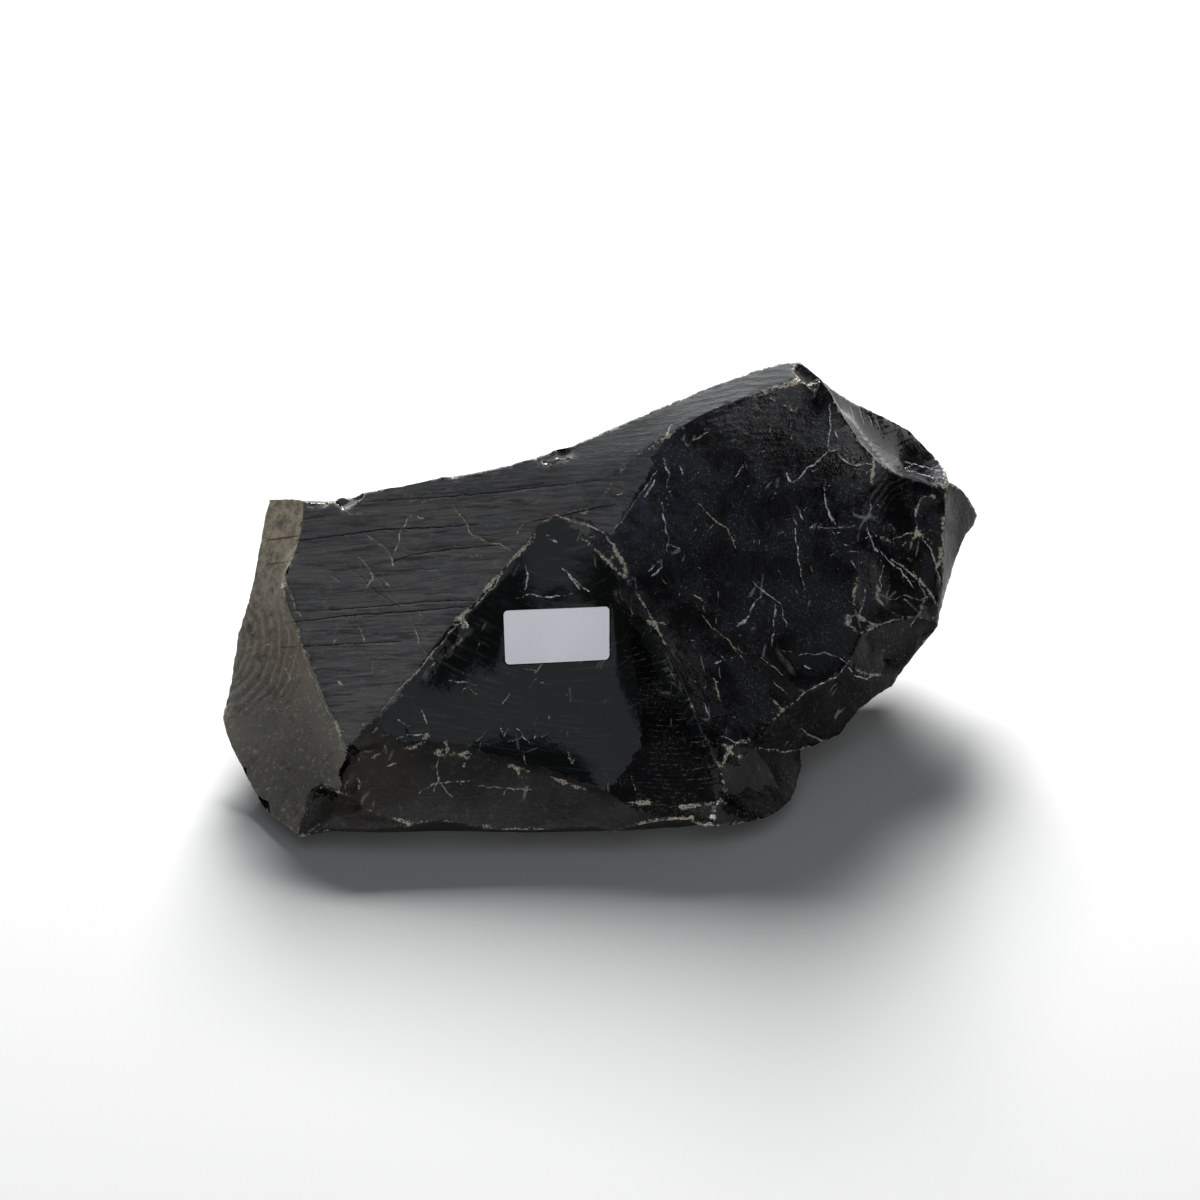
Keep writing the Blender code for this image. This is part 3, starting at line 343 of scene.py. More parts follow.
# Finishes of the facets: the finish, its outline in pixels, and a pixel that shows how it faces. A face takes
# the facet that it faces like most
FACETS = [
    (WEATHERED, [(296, 470), (300, 528), (283, 600), (350, 770), (545, 552), (612, 548), (655, 490),
                 (620, 420)], (420, 580)),
    (WEATHERED, [(560, 420), (600, 550), (660, 500), (710, 445), (765, 412), (812, 398), (805, 350)],
     (680, 410)),
    (BRUISED, [(590, 540), (630, 470), (700, 410), (810, 365), (850, 380), (960, 480), (950, 640),
               (860, 650), (720, 760), (690, 740), (640, 620)], (700, 470)),
    (BRUISED, [(590, 540), (630, 470), (700, 410), (810, 365), (850, 380), (960, 480), (950, 640),
               (860, 650), (720, 760), (690, 740), (640, 620)], (740, 600)),
    (GLASS, [(805, 360), (860, 385), (960, 480), (930, 500), (860, 460)], (860, 420)),
    (BRUISED, [(820, 440), (950, 480), (950, 650), (850, 660)], (850, 520)),
    (TAN, [(250, 480), (306, 490), (302, 530), (292, 600), (350, 750), (362, 775), (300, 850), (190, 700)],
     (262, 620)),
    (GLASS, [(370, 720), (560, 500), (620, 540), (730, 770), (715, 830), (430, 770)], (500, 660)),
    (GLASS, [(370, 720), (560, 500), (620, 540), (730, 770), (715, 830), (430, 770)], (660, 720)),
    (GLASS, [(370, 720), (560, 500), (620, 540), (730, 770), (715, 830), (430, 770)], (560, 570)),
    (LIP, [(350, 752), (400, 735), (440, 735), (480, 748), (540, 765), (600, 786), (640, 808), (690, 818),
           (700, 860), (290, 860), (335, 800)], (480, 800)),
    (LIP, [(346, 752), (380, 712), (432, 700), (445, 745), (400, 752), (352, 790)], (390, 745)),
    (LIP, [(705, 735), (760, 750), (790, 830), (690, 860)], (735, 790)),
    # The dark finish on the right end and on the undersides at the lower right is painted shade.
    (DARK_GLASS_AND_PAINTED_SHADE, [(930, 460), (1000, 470), (970, 570), (925, 560)], (955, 505)),
    (DARK_GLASS_AND_PAINTED_SHADE, [(690, 740), (850, 640), (950, 600), (980, 640), (860, 760), (760, 860)], (850, 700)),
    (DARK_GLASS_AND_PAINTED_SHADE, [(690, 740), (850, 640), (950, 600), (980, 640), (860, 760), (760, 860)], (760, 800)),
]

# Patches with soft borders, laid over the facets in turn: the finish and its outline in pixels
PATCHES = [
    (LIP, [(308, 790), (326, 784), (354, 797), (376, 816), (350, 840), (296, 846)]),
    # The dark patches at the foot are painted shade.
    (DARK_GLASS_AND_PAINTED_SHADE, [(311, 790), (326, 786), (352, 800), (346, 806), (326, 796), (312, 800)]),
    (LIP, [(346, 754), (358, 736), (380, 714), (410, 704), (440, 714), (448, 744), (400, 746), (352, 760)]),
    (DARK_GLASS_AND_PAINTED_SHADE, [(346, 752), (352, 744), (358, 752), (352, 772), (346, 790), (340, 776)]),
    (WEATHERED, [(541, 524), (520, 500), (560, 470), (640, 440), (655, 462), (632, 500), (612, 536),
                 (590, 520), (560, 514)]),
    (BRUISED, [(590, 524), (612, 536), (632, 500), (655, 462), (690, 450), (700, 600), (640, 640),
               (612, 570)]),
    (GLASS, [(378, 722), (432, 652), (490, 590), (541, 524), (560, 516), (590, 540), (616, 580),
             (642, 640), (668, 700), (702, 745), (718, 800), (705, 822), (640, 810), (600, 788),
             (540, 766), (480, 750), (440, 740), (400, 742)]),
    # This dark patch at the foot of the hollow's right wall is painted shade.
    (DARK_GLASS_AND_PAINTED_SHADE, [(614, 580), (630, 640), (640, 700), (641, 745), (618, 782), (604, 790), (640, 812), (705, 824),
            (718, 800), (702, 745), (668, 700), (642, 640)]),
    (LIP, [(352, 756), (400, 742), (440, 740), (480, 750), (540, 766), (600, 788), (640, 812), (705, 824),
           (700, 870), (290, 870), (335, 800)]),
]

# How far the patches' outlines fray, in pixels, and the scale of the fraying
PATCH_FRAY = 3.0
FRAY_GRAIN = 260.0
SECOND_FRAY = Vector((0.0, 0.0, 7.0))

# Colours that all the finishes of the stone share
RIM_GREY = (0.16, 0.155, 0.15, 1)
RIM_TAN = (0.42, 0.38, 0.31, 1)
SCRATCH_GREY = (0.11, 0.11, 0.11, 1)
# The hackle grey is a painted highlight on the hackle ridges.
HACKLE_HIGHLIGHT_GREY = (0.070, 0.072, 0.066, 1)
CRACK_BLACK = (0.008, 0.006, 0.005, 1)
RUST_BROWN = (0.09, 0.04, 0.015, 1)
DULL = (0.65, 0.65, 0.65, 1)

# Places on the stone round which a finish changes, and the slope of the grey skin's flow lines
WEST_BRUISE = (0.004, 0.010, 0.087)
EAST_BAND = (0.075, 0.045, 0.105)
TAN_TOP = (-0.120, 0.020, 0.080)
TAN_OCHRE = (-0.104, -0.020, 0.048)
TAN_FOOT = (-0.112, -0.062, 0.012)
BROWN_FOOT = (-0.085, -0.066, 0.024)
FLOW_SLOPE = math.radians(-4.0)

# The places of share, first and second colour and result among a mix node's sockets
MIX_COLOUR_INPUTS = (0, 6, 7)
MIX_COLOUR_OUTPUT = 2

# Lights: name, the direction and height they come from in degrees, distance, size, radiance, colour
WHITE = (1.0, 1.0, 1.0)
LIGHTS = [
    ("key_from_behind", (-179.0, 30.0), 2.4, (0.75, 0.75), 160.0, WHITE),
    ("panel_overhead", (-6.0, 69.0), 1.2, (1.78, 2.1), 0.31, (0.88, 0.96, 1.0)),
    ("low_front_fill", (5.0, 8.0), 1.5, (0.8, 0.25), 10.0, WHITE),
    ("pale_wall", (128.0, 9.0), 1.2, (1.2, 0.75), 1.0, WHITE),
]
LIT_MIDDLE = Vector((0.0, 0.0, 0.05))
WATTS_PER_RADIANCE = 4.0
SKY_ON_DULL = 0.08
SKY_IN_GLOSS = 0.04


# Places
def on_picture(px, py):
    """The point of the picture's plane at a pixel."""
    across = (px - PICTURE_PIXELS / 2) * PIXEL
    up = (PICTURE_PIXELS / 2 - py) * PIXEL
    return PICTURE_MIDDLE + Vector((across, 0.0, 0.0)) + PICTURE_UP * up


def pixel_of(place):
    """The pixel at which the eye sees a place."""
    ray = place - EYE
    share = EYE_DISTANCE / -ray.dot(TOWARDS_EYE)
    flat = EYE + ray * share - PICTURE_MIDDLE
    return PICTURE_PIXELS / 2 + flat.x / PIXEL, PICTURE_PIXELS / 2 - flat.dot(PICTURE_UP) / PIXEL


def spot(tree, px, py):
    """Where the eye sees the stone at a pixel, and the stone's normal there, or None beside it."""
    aim = on_picture(px, py) - EYE
    place, normal, _, _ = tree.ray_cast(EYE, aim.normalized())
    return None if place is None else (place, normal)


def inside(outline, px, py):
    """Whether a pixel lies inside an outline."""
    result = False
    for (ax, ay), (bx, by) in zip(outline, outline[1:] + outline[:1]):
        if (ay > py) != (by > py) and px < ax + (py - ay) * (bx - ax) / (by - ay):
            result = not result
    return result


def between(points, share):
    """The point at a share of a line's stretches."""
    place = share * (len(points) - 1)
    i = min(int(place), len(points) - 2)
    return [a + (b - a) * (place - i) for a, b in zip(points[i], points[i + 1])]


def along(points, step):
    """Points along a line, a step apart, with how far along the whole each lies."""
    total = sum(math.dist(a, b) for a, b in zip(points, points[1:]))
    done = 0.0
    result = []
    for a, b in zip(points, points[1:]):
        length = math.dist(a, b)
        count = max(1, round(length / step))
        for i in range(count):
            share = i / count
            place = [p + (q - p) * share for p, q in zip(a, b)]
            result.append((place, (done + share * length) / total))
        done += length
    return result + [(list(points[-1]), 1.0)]


def kd_of(places):
    kd = KDTree(len(places))
    for i, place in enumerate(places):
        kd.insert(place, i)
    kd.balance()
    return kd


# Lines on the stone
def hackle_lines():
    """Broken fine lines that climb across the hollow's right wall, raised a little and painted grey as a
    painted highlight on their ridges.
    """
    chance = random.Random(HACKLE_SEED)
    result = []
    for row in range(HACKLE_ROWS):
        sides = [between(side, row / (HACKLE_ROWS - 1)) for side in HACKLE_SIDES]
        first = chance.uniform(*HACKLE_STARTS)
        while first < HACKLE_LAST_START:
            last = min(1.0, first + chance.uniform(*HACKLE_LENGTHS))
            points = []
            for step in range(HACKLE_STEPS + 1):
                at = max(0.0, first + (last - first) * step / HACKLE_STEPS)
                px, py = between(sides, at)
                points.append((px, py + HACKLE_BOW * math.sin(math.pi * at)))
            result.append(("hackle", chance.uniform(*HACKLE_HALF_WIDTHS), points))
            first = last + chance.uniform(*HACKLE_GAPS)
    return result


def stray_lines():
    """Short fine scratches at chance places, most of them on the big dark facet."""
    chance = random.Random(STRAY_SEED)
    result = []
    for (mx, my), spread, count in STRAYS:
        for _ in range(count):
            px = mx + chance.gauss(0.0, 0.5) * spread
            py = my + chance.gauss(0.0, 0.5) * spread
            turn = chance.uniform(0.0, math.pi)
            lengths = STRAY_SHORT if chance.random() < STRAY_SHORT_SHARE else STRAY_LONG
            length = chance.uniform(*lengths)
            kind = chance.choice(STRAY_KINDS)
            end = (px + length * math.cos(turn), py + length * math.sin(turn))
            result.append((kind, chance.uniform(*STRAY_HALF_WIDTHS), [(px, py), end]))
    return result


def samples(tree):
    """Points along all the lines on the stone: place, reach, kind."""
    result = []
    for kind, half_width, points in LINES + hackle_lines() + stray_lines():
        wobble = WOBBLE * (STEADY if kind in STEADY_KINDS else 1.0)
        for (px, py), share in along(points, SAMPLE_STEP):
            sway = Vector((px * SWAY, py * SWAY, half_width))
            across = wobble * noise.noise(sway)
            up = wobble * noise.noise(sway + SECOND_SWAY)
            found = spot(tree, px + across, py + up)
            if found:
                swell = math.sin(math.pi * min(max(share, LINE_END), 1.0 - LINE_END))
                taper = THIN_END + (1.0 - THIN_END) * swell
                result.append((found[0], half_width * PIXEL * taper, kind))
    return result


# The stone's mesh
def merged_copy(node):
    """A mesh of a node's faces, with their shared corners joined."""
    bm = bmesh.new()
    bm.from_mesh(node.data)
    bmesh.ops.remove_doubles(bm, verts=bm.verts, dist=MERGE_REACH)
    bmesh.ops.recalc_face_normals(bm, faces=bm.faces)
    return bm


def middle_of(edge):
    return (edge.verts[0].co + edge.verts[1].co) / 2.0


def mark_sharp(bm):
    for edge in bm.edges:
        edge.smooth = edge.calc_face_angle(0.0) < SHARP_ANGLE


def smooth_inside(bm):
    """Evens the skin between the sharp ridges, and rounds the corners along each ridge."""
    free = [vert for vert in bm.verts if vert.co.z > SMOOTHED_ABOVE]
    loose = [vert for vert in free if all(edge.smooth for edge in vert.link_edges)]
    for _ in range(SMOOTH_STEPS):
        bmesh.ops.smooth_vert(
            bm, verts=loose, factor=0.5, use_axis_x=True, use_axis_y=True, use_axis_z=True
        )
    moves = []
    for vert in bm.verts:
        ends = [edge.other_vert(vert).co for edge in vert.link_edges if not edge.smooth]
        if len(ends) == 2 and vert.co.z > SMOOTHED_ABOVE:
            if (ends[0] - vert.co).dot(ends[1] - vert.co) < 0.0:
                moves.append((vert, vert.co * 0.5 + (ends[0] + ends[1]) * 0.25))
    for vert, place in moves:
        vert.co = place


def split_long(bm, wanted):
    """Halves the edges that are longer than wanted, and keeps all faces triangles."""
    long_edges = [edge for edge in bm.edges if edge.calc_length() > wanted(edge)]
    bmesh.ops.subdivide_edges(bm, edges=long_edges, cuts=1)
    bmesh.ops.triangulate(bm, faces=[face for face in bm.faces if len(face.verts) > 3])


def fineness(edge):
    """The edge length wanted where an edge lies."""
    if all(face.normal.z < BASE_FACING for face in edge.link_faces):
        return WHOLE_EDGE
    if max(face.normal.dot(TOWARDS_EYE) for face in edge.link_faces) < HIDDEN_FACING:
        return HIDDEN_EDGE
    px, py = pixel_of(edge.verts[0].co)
    ringed = any(math.hypot(px - mx, py - my) < radius for _, (mx, my), radius, _, _ in RINGS)
    return FIELD_EDGE if ringed else SEEN_EDGE


def refine(bm):
    """Splits the skin finely where the eye sees it, less behind, and hardly at all under the base."""
    for coarse in SPLIT_PASSES:
        split_long(bm, lambda edge: fineness(edge) * coarse)
        smooth_inside(bm)
        bm.normal_update()


def refine_near_lines(bm, kd):
    """Splits the skin near the lines, so that thin marks keep their edges."""
    for coarse in MARK_PASSES:
        split_long(
            bm, lambda edge: MARK_EDGE * coarse if kd.find(middle_of(edge))[2] < MARK_REACH else WHOLE_EDGE
        )


def lay_finishes(bm, tree):
    """Gives each face of the solid the finish of its facet."""
    facings = [spot(tree, *shown)[1] for _, _, shown in FACETS]
    for face in bm.faces:
        centre = face.calc_center_median()
        px, py = pixel_of(centre)
        face.material_index = LIP if face.normal.z < UNDER_FACING else DARK_GLASS_AND_PAINTED_SHADE
        found = spot(tree, px, py)
        if not found or (found[0] - centre).length > SEEN_CLOSE:
            continue
        closest = FACET_TURN
        for (finish, outline, _), facing in zip(FACETS, facings):
            likeness = face.normal.dot(facing)
            if likeness > closest and inside(outline, px, py):
                closest = likeness
                face.material_index = finish


def lay_patches(bm):
    """Lays the patches with soft borders on the fine skin, with frayed outlines."""
    for face in bm.faces:
        if face.normal.dot(TOWARDS_EYE) < 0.0:
            continue
        centre = face.calc_center_median()
        px, py = pixel_of(centre)
        fray_across = PATCH_FRAY * noise.noise(centre * FRAY_GRAIN)
        fray_down = PATCH_FRAY * noise.noise(centre * FRAY_GRAIN + SECOND_FRAY)
        for finish, outline in PATCHES:
            if inside(outline, px + fray_across, py + fray_down):
                face.material_index = finish


def ring_lift(px, py, wobble):
    """How far the rings raise the skin at a pixel."""
    lift = 0.0
    for (sx, sy), (mx, my), radius, spacing, height in RINGS:
        fade = 1.0 - math.hypot(px - mx, py - my) / radius
        if fade > 0.0:
            turns = math.hypot(px - sx, py - sy) / spacing + RING_WOBBLE * wobble
            crest = abs(math.sin(math.pi * turns))
            lift += height * (1.0 - 2.0 * crest) * min(1.0, 2.0 * fade)
    return lift


def mark_depth(vert, layers, marks, kd):
    """Keeps the nearest mark in the layers, and tells how deep it cuts the skin here."""
    _, index, distance = kd.find(vert.co)
    _, reach, kind = marks[index]
    rough = noise.noise(vert.co * MARK_GRAIN)
    near = max(0.0, 1.0 - distance / (reach * (1.0 + 0.5 * rough) + MARK_MARGIN))
    if near == 0.0:
        return 0.0
    strength, tint, dark, rust, depth = KINDS[kind]
    vert[layers["bruise_and_highlight"]] = near * strength
    vert[layers["tint"]] = tint
    vert[layers["crack"]] = near * dark
    vert[layers["rust"]] = near * rust
    return depth * near * (1.0 + rough)


def crumble_depth(vert, layers, ridge_kd):
    """Keeps how close a ridge is in its layer, and tells how much of the skin has crumbled away here."""
    ridge = max(0.0, 1.0 - ridge_kd.find(vert.co)[2] / RIDGE_REACH)
    vert[layers["ridge"]] = ridge
    if ridge == 0.0:
        return 0.0
    lumps = LUMPS * noise.noise(vert.co * LUMP_GRAIN)
    crumbs = CRUMBS * noise.noise(vert.co * CRUMB_GRAIN)
    return RIDGE_CHIPS * ridge * ridge * max(0.0, CRUMBLED + lumps + crumbs)


def carve(bm, marks, kd):
    """Moves the skin: rings, hackle, cracks, and crumbled ridges. Keeps each point's marks in layers."""
    layers = {name: bm.verts.layers.float.new(name) for name in SKIN_LAYERS}
    ridge_kd = kd_of([middle_of(edge) for edge in bm.edges if not edge.smooth and edge.is_convex])
    bm.normal_update()
    lifts = []
    for vert in bm.verts:
        broad = noise.noise(vert.co * SWELL_GRAIN)
        lift = SKIN_SWELL * broad
        if vert.normal.dot(TOWARDS_EYE) > 0.0:
            lift -= mark_depth(vert, layers, marks, kd)
            ring = ring_lift(*pixel_of(vert.co), broad)
            vert[layers["ring"]] = ring / RING_HEIGHT
            lift += ring
        lifts.append(lift - crumble_depth(vert, layers, ridge_kd))
    for vert, lift in zip(bm.verts, lifts):
        if vert.co.z > CARVED_ABOVE:
            vert.co += vert.normal * lift


def clear_of_sticker(bm, sticker_tree):
    """Keeps the skin a little below the sticker, and eases back to its own height round it."""
    middle = on_picture(*STICKER_MIDDLE) - EYE
    facing = sticker_tree.ray_cast(EYE, middle.normalized())[1]
    for vert in bm.verts:
        place, _, _, distance = sticker_tree.find_nearest(vert.co)
        if distance > STICKER_REACH:
            continue
        above = (vert.co - place).dot(facing)
        beside = (vert.co - place - facing * above).length
        sink = max(0.0, above + STICKER_BELOW)
        vert.co -= facing * (sink * max(0.0, 1.0 - beside / STICKER_REACH) ** 2)


def stone_mesh():
    bm = merged_copy(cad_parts["obsidian_chunk"])
    lay_finishes(bm, BVHTree.FromBMesh(bm))
    mark_sharp(bm)
    refine(bm)
    lay_patches(bm)
    marks = samples(BVHTree.FromBMesh(bm))
    kd = kd_of([place for place, _, _ in marks])
    refine_near_lines(bm, kd)
    bm.normal_update()
    for face in bm.faces:
        face.smooth = True
    carve(bm, marks, kd)
    sticker = merged_copy(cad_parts["paper_sticker"])
    clear_of_sticker(bm, BVHTree.FromBMesh(sticker))
    sticker.free()
    return bm


# Materials
class Board:
    """A material and short ways to add its nodes."""

    def __init__(self, name):
        self.material = bpy.data.materials.new(name)
        self.material.use_nodes = True
        self.nodes = self.material.node_tree.nodes
        self.links = self.material.node_tree.links
        self.shader = self.nodes["Principled BSDF"]
        self.place = self.nodes.new("ShaderNodeTexCoord").outputs["Object"]

    def put(self, socket, value):
        if isinstance(value, bpy.types.NodeSocket):
            self.links.new(value, socket)
        else:
            socket.default_value = value

    def math(self, operation, first, second):
        node = self.nodes.new("ShaderNodeMath")
        node.operation = operation
        self.put(node.inputs[0], first)
        self.put(node.inputs[1], second)
        return node.outputs[0]

    def times(self, first, second):
        return self.math("MULTIPLY", first, second)

    def plus(self, first, second):
        return self.math("ADD", first, second)

    def mix(self, share, first, second):
        """The first colour where the share is 0, and the second where it is 1."""
        node = self.nodes.new("ShaderNodeMix")
        node.data_type = "RGBA"
        for place, value in zip(MIX_COLOUR_INPUTS, (share, first, second)):
            self.put(node.inputs[place], value)
        return node.outputs[MIX_COLOUR_OUTPUT]

    def layer(self, name):
        """A number that the stone's skin keeps at each point."""
        node = self.nodes.new("ShaderNodeAttribute")
        node.attribute_name = name
        return node.outputs["Fac"]

    def turned(self, turn, stretch):
        node = self.nodes.new("ShaderNodeMapping")
        node.inputs["Rotation"].default_value = turn
        node.inputs["Scale"].default_value = stretch
        self.links.new(self.place, node.inputs["Vector"])
        return node.outputs[0]

    def noise(self, scale, detail=2.0, rough=0.5, place=None):
        node = self.nodes.new("ShaderNodeTexNoise")
        node.inputs["Scale"].default_value = scale
        node.inputs["Detail"].default_value = detail
        node.inputs["Roughness"].default_value = rough
        self.links.new(place or self.place, node.inputs["Vector"])
        return node.outputs[0]

    def streaks(self, turn, stretch, detail, rough):
        """Noise drawn out along one direction of the stone."""
        return self.noise(1.0, detail, rough, self.turned(turn, stretch))

    def step(self, value, low, high):
        """0 below low, 1 above high, and smooth between them."""
        node = self.nodes.new("ShaderNodeMapRange")
        node.interpolation_type = "SMOOTHSTEP"
        self.put(node.inputs["Value"], value)
        node.inputs["From Min"].default_value = low
        node.inputs["From Max"].default_value = high
        return node.outputs[0]

    def near(self, centre, radius):
        """1 at a point of the stone, falling to 0 at a radius."""
        node = self.nodes.new("ShaderNodeVectorMath")
        node.operation = "DISTANCE"
        self.links.new(self.place, node.inputs[0])
        node.inputs[1].default_value = centre
        return self.step(node.outputs["Value"], radius, 0.0)

    def bump(self, height, distance, strength):
        node = self.nodes.new("ShaderNodeBump")
        node.inputs["Strength"].default_value = strength
        node.inputs["Distance"].default_value = distance
        self.links.new(height, node.inputs["Height"])
        return node.outputs[0]

    def finish(self, colour, roughness, normal=None, gloss=0.5):
        self.put(self.shader.inputs["Base Color"], colour)
        self.put(self.shader.inputs["Specular IOR Level"], gloss)
        self.put(self.shader.inputs["Roughness"], roughness)
        if normal:
            self.links.new(normal, self.shader.inputs["Normal"])
        return self.material


def scratches(board, scale, turn, width):
    """Thin broken lines across the stone, along one direction."""
    wave = board.nodes.new("ShaderNodeTexWave")
    wave.inputs["Scale"].default_value = scale
    wave.inputs["Distortion"].default_value = 6.0
    wave.inputs["Detail"].default_value = 3.0
    wave.inputs["Detail Scale"].default_value = 0.6
    board.links.new(board.turned(turn, (1.0, 1.0, 1.0)), wave.inputs["Vector"])
    line = board.step(wave.outputs["Fac"], 1.0 - width, 1.0)
    return board.times(line, board.step(board.noise(95.0, 3.0), 0.60, 0.68))


def worn(board, colour, roughness, scratched, pale, ochre):
    """Lays crushed ridges, scratches, bruises, painted glints and painted highlights, cracks and rust over a
    finish: its colour and roughness.
    """
    grit = board.noise(2300.0, 3.0, 0.65)
    clumps = board.noise(620.0, 5.0, 0.75)
    patches = board.noise(70.0, 2.0)

    ridge = board.plus(board.layer("ridge"), board.plus(board.times(clumps, 1.1), patches))
    crushed = board.times(board.step(ridge, 1.86, 2.00), board.step(grit, 0.40, 0.54))
    colour = board.mix(crushed, colour, board.mix(board.step(patches, 0.42, 0.62), RIM_GREY, RIM_TAN))

    steep = scratches(board, 60.0, (0.3, 0.5, 0.9), 0.035)
    level = scratches(board, 48.0, (1.2, 0.2, 2.2), 0.03)
    scratch = board.times(board.plus(steep, level), scratched)
    colour = board.mix(scratch, colour, SCRATCH_GREY)

    # The marks' layer holds real bruises and scratches, and also painted glints and painted highlights.
    bruise_and_highlight = board.plus(board.layer("bruise_and_highlight"), board.times(clumps, 1.5))
    gaps = board.plus(board.times(board.step(board.noise(330.0, 3.0, 0.7), 0.40, 0.56), 0.85), 0.15)
    bruise_and_highlight_mask = board.times(board.times(board.step(bruise_and_highlight, 1.22, 1.50), board.step(grit, 0.36, 0.52)), gaps)
    tint = board.layer("tint")
    mark = board.mix(board.step(tint, 0.0, 1.0), pale, ochre)
    # Hackle lines take the painted highlight grey.
    mark = board.mix(board.step(tint, -0.2, -0.9), mark, HACKLE_HIGHLIGHT_GREY)
    colour = board.mix(bruise_and_highlight_mask, colour, mark)

    colour = board.mix(board.step(board.layer("crack"), 0.25, 0.7), colour, CRACK_BLACK)
    colour = board.mix(board.step(board.layer("rust"), 0.2, 0.7), colour, RUST_BROWN)
    dull = board.math("MAXIMUM", board.math("MAXIMUM", crushed, bruise_and_highlight_mask), scratch)
    return colour, board.mix(dull, roughness, DULL)


def glass_material():
    """The glossy hollow: near black, a greenish film, dust, and fine greenish streaks that are painted
    reflections.
    """
    board = Board("black_volcanic_glass")
    film = board.step(board.noise(38.0, 5.0, 0.6), 0.45, 0.75)
    smudge = board.noise(140.0, 4.0, 0.6)
    dust = board.times(board.step(board.noise(2200.0, 2.0), 0.64, 0.72), board.step(smudge, 0.5, 0.65))
    streaks = board.step(board.streaks((0.5, 0.6, 0.2), (60.0, 900.0, 90.0), 5.0, 0.65), 0.52, 0.70)
    base = board.mix(film, (0.0020, 0.0028, 0.0028, 1), (0.0036, 0.0056, 0.0055, 1))
    base = board.mix(board.times(dust, 0.5), base, (0.07, 0.07, 0.07, 1))
    # The pale greenish streaks are painted reflections.
    base = board.mix(board.times(streaks, 0.7), base, (0.024, 0.030, 0.030, 1))
    roughness = board.mix(board.step(smudge, 0.35, 0.7), (0.08, 0.08, 0.08, 1), (0.20, 0.20, 0.20, 1))
    colour, rough = worn(board, base, roughness, 0.5, (0.42, 0.43, 0.45, 1), (0.27, 0.235, 0.18, 1))
    height = board.plus(board.noise(260.0, 5.0, 0.6), board.times(board.noise(60.0, 2.0), 2.0))
    return board.finish(colour, rough, board.bump(height, 0.0004, 0.35))


def bruised_material(name, gloss, haze_colour):
    """The big dark facet and the broken ends: black glass with haze, clouds and pale specks."""
    board = Board(name)
    haze = board.noise(70.0, 6.0, 0.68)
    cloud = board.step(board.noise(16.0, 3.0, 0.6), 0.5, 0.7)
    west = board.times(board.near(WEST_BRUISE, 0.036), board.step(board.noise(190.0, 5.0, 0.7), 0.35, 0.65))
    specks = board.times(board.step(board.noise(1700.0, 2.0), 0.61, 0.68), board.step(haze, 0.42, 0.58))
    base = board.mix(board.step(haze, 0.42, 0.68), (0.0016, 0.0016, 0.0020, 1), haze_colour)
    base = board.mix(board.times(cloud, 0.5), base, (0.0050, 0.0040, 0.0040, 1))
    base = board.mix(west, base, (0.020, 0.025, 0.037, 1))
    base = board.mix(board.times(specks, 0.6), base, (0.14, 0.14, 0.145, 1))
    roughness = board.mix(board.step(haze, 0.35, 0.65), (0.14, 0.14, 0.14, 1), (0.40, 0.40, 0.40, 1))
    colour, rough = worn(board, base, roughness, 1.0, (0.46, 0.47, 0.50, 1), (0.33, 0.28, 0.20, 1))
    height = board.plus(board.noise(420.0, 5.0, 0.65), board.times(board.noise(80.0, 3.0), 2.0))
    return board.finish(colour, rough, board.bump(height, 0.0006, 0.5), gloss)


def weathered_material():
    """The flat and the upper band: grey skin with flow lines, which fade towards the east."""
    board = Board("weathered_grey_skin")
    slope = (0.0, FLOW_SLOPE, 0.0)
    flow = board.step(board.streaks(slope, (11.0, 300.0, 300.0), 5.0, 0.6), 0.36, 0.64)
    fine = board.streaks(slope, (45.0, 1000.0, 1000.0), 4.0, 0.65)
    dark = board.step(board.streaks(slope, (18.0, 620.0, 620.0), 3.0, 0.6), 0.52, 0.68)
    cloud = board.step(board.noise(26.0, 4.0, 0.55), 0.5, 0.8)
    mottle = board.step(board.noise(330.0, 4.0, 0.7), 0.56, 0.72)
    east = board.near(EAST_BAND, 0.125)
    calm = board.math("SUBTRACT", 1.0, board.times(east, 0.8))
    base = board.mix(flow, (0.046, 0.047, 0.050, 1), (0.078, 0.077, 0.077, 1))
    base = board.mix(board.times(east, 0.9), base, (0.026, 0.031, 0.033, 1))
    pale_lines = board.times(board.times(board.step(fine, 0.46, 0.66), calm), 0.55)
    base = board.mix(pale_lines, base, (0.105, 0.105, 0.105, 1))
    base = board.mix(board.times(board.times(dark, calm), 0.65), base, (0.016, 0.014, 0.013, 1))
    base = board.mix(board.times(cloud, 0.4), base, (0.075, 0.066, 0.050, 1))
    base = board.mix(board.times(board.times(mottle, calm), 0.45), base, (0.13, 0.127, 0.12, 1))
    roughness = (0.75, 0.75, 0.75, 1)
    colour, rough = worn(board, base, roughness, 0.35, (0.36, 0.35, 0.33, 1), (0.34, 0.28, 0.20, 1))
    height = board.plus(fine, board.times(board.noise(1300.0, 2.0), 0.4))
    return board.finish(colour, rough, board.bump(height, 0.0004, 0.35), 0.08)


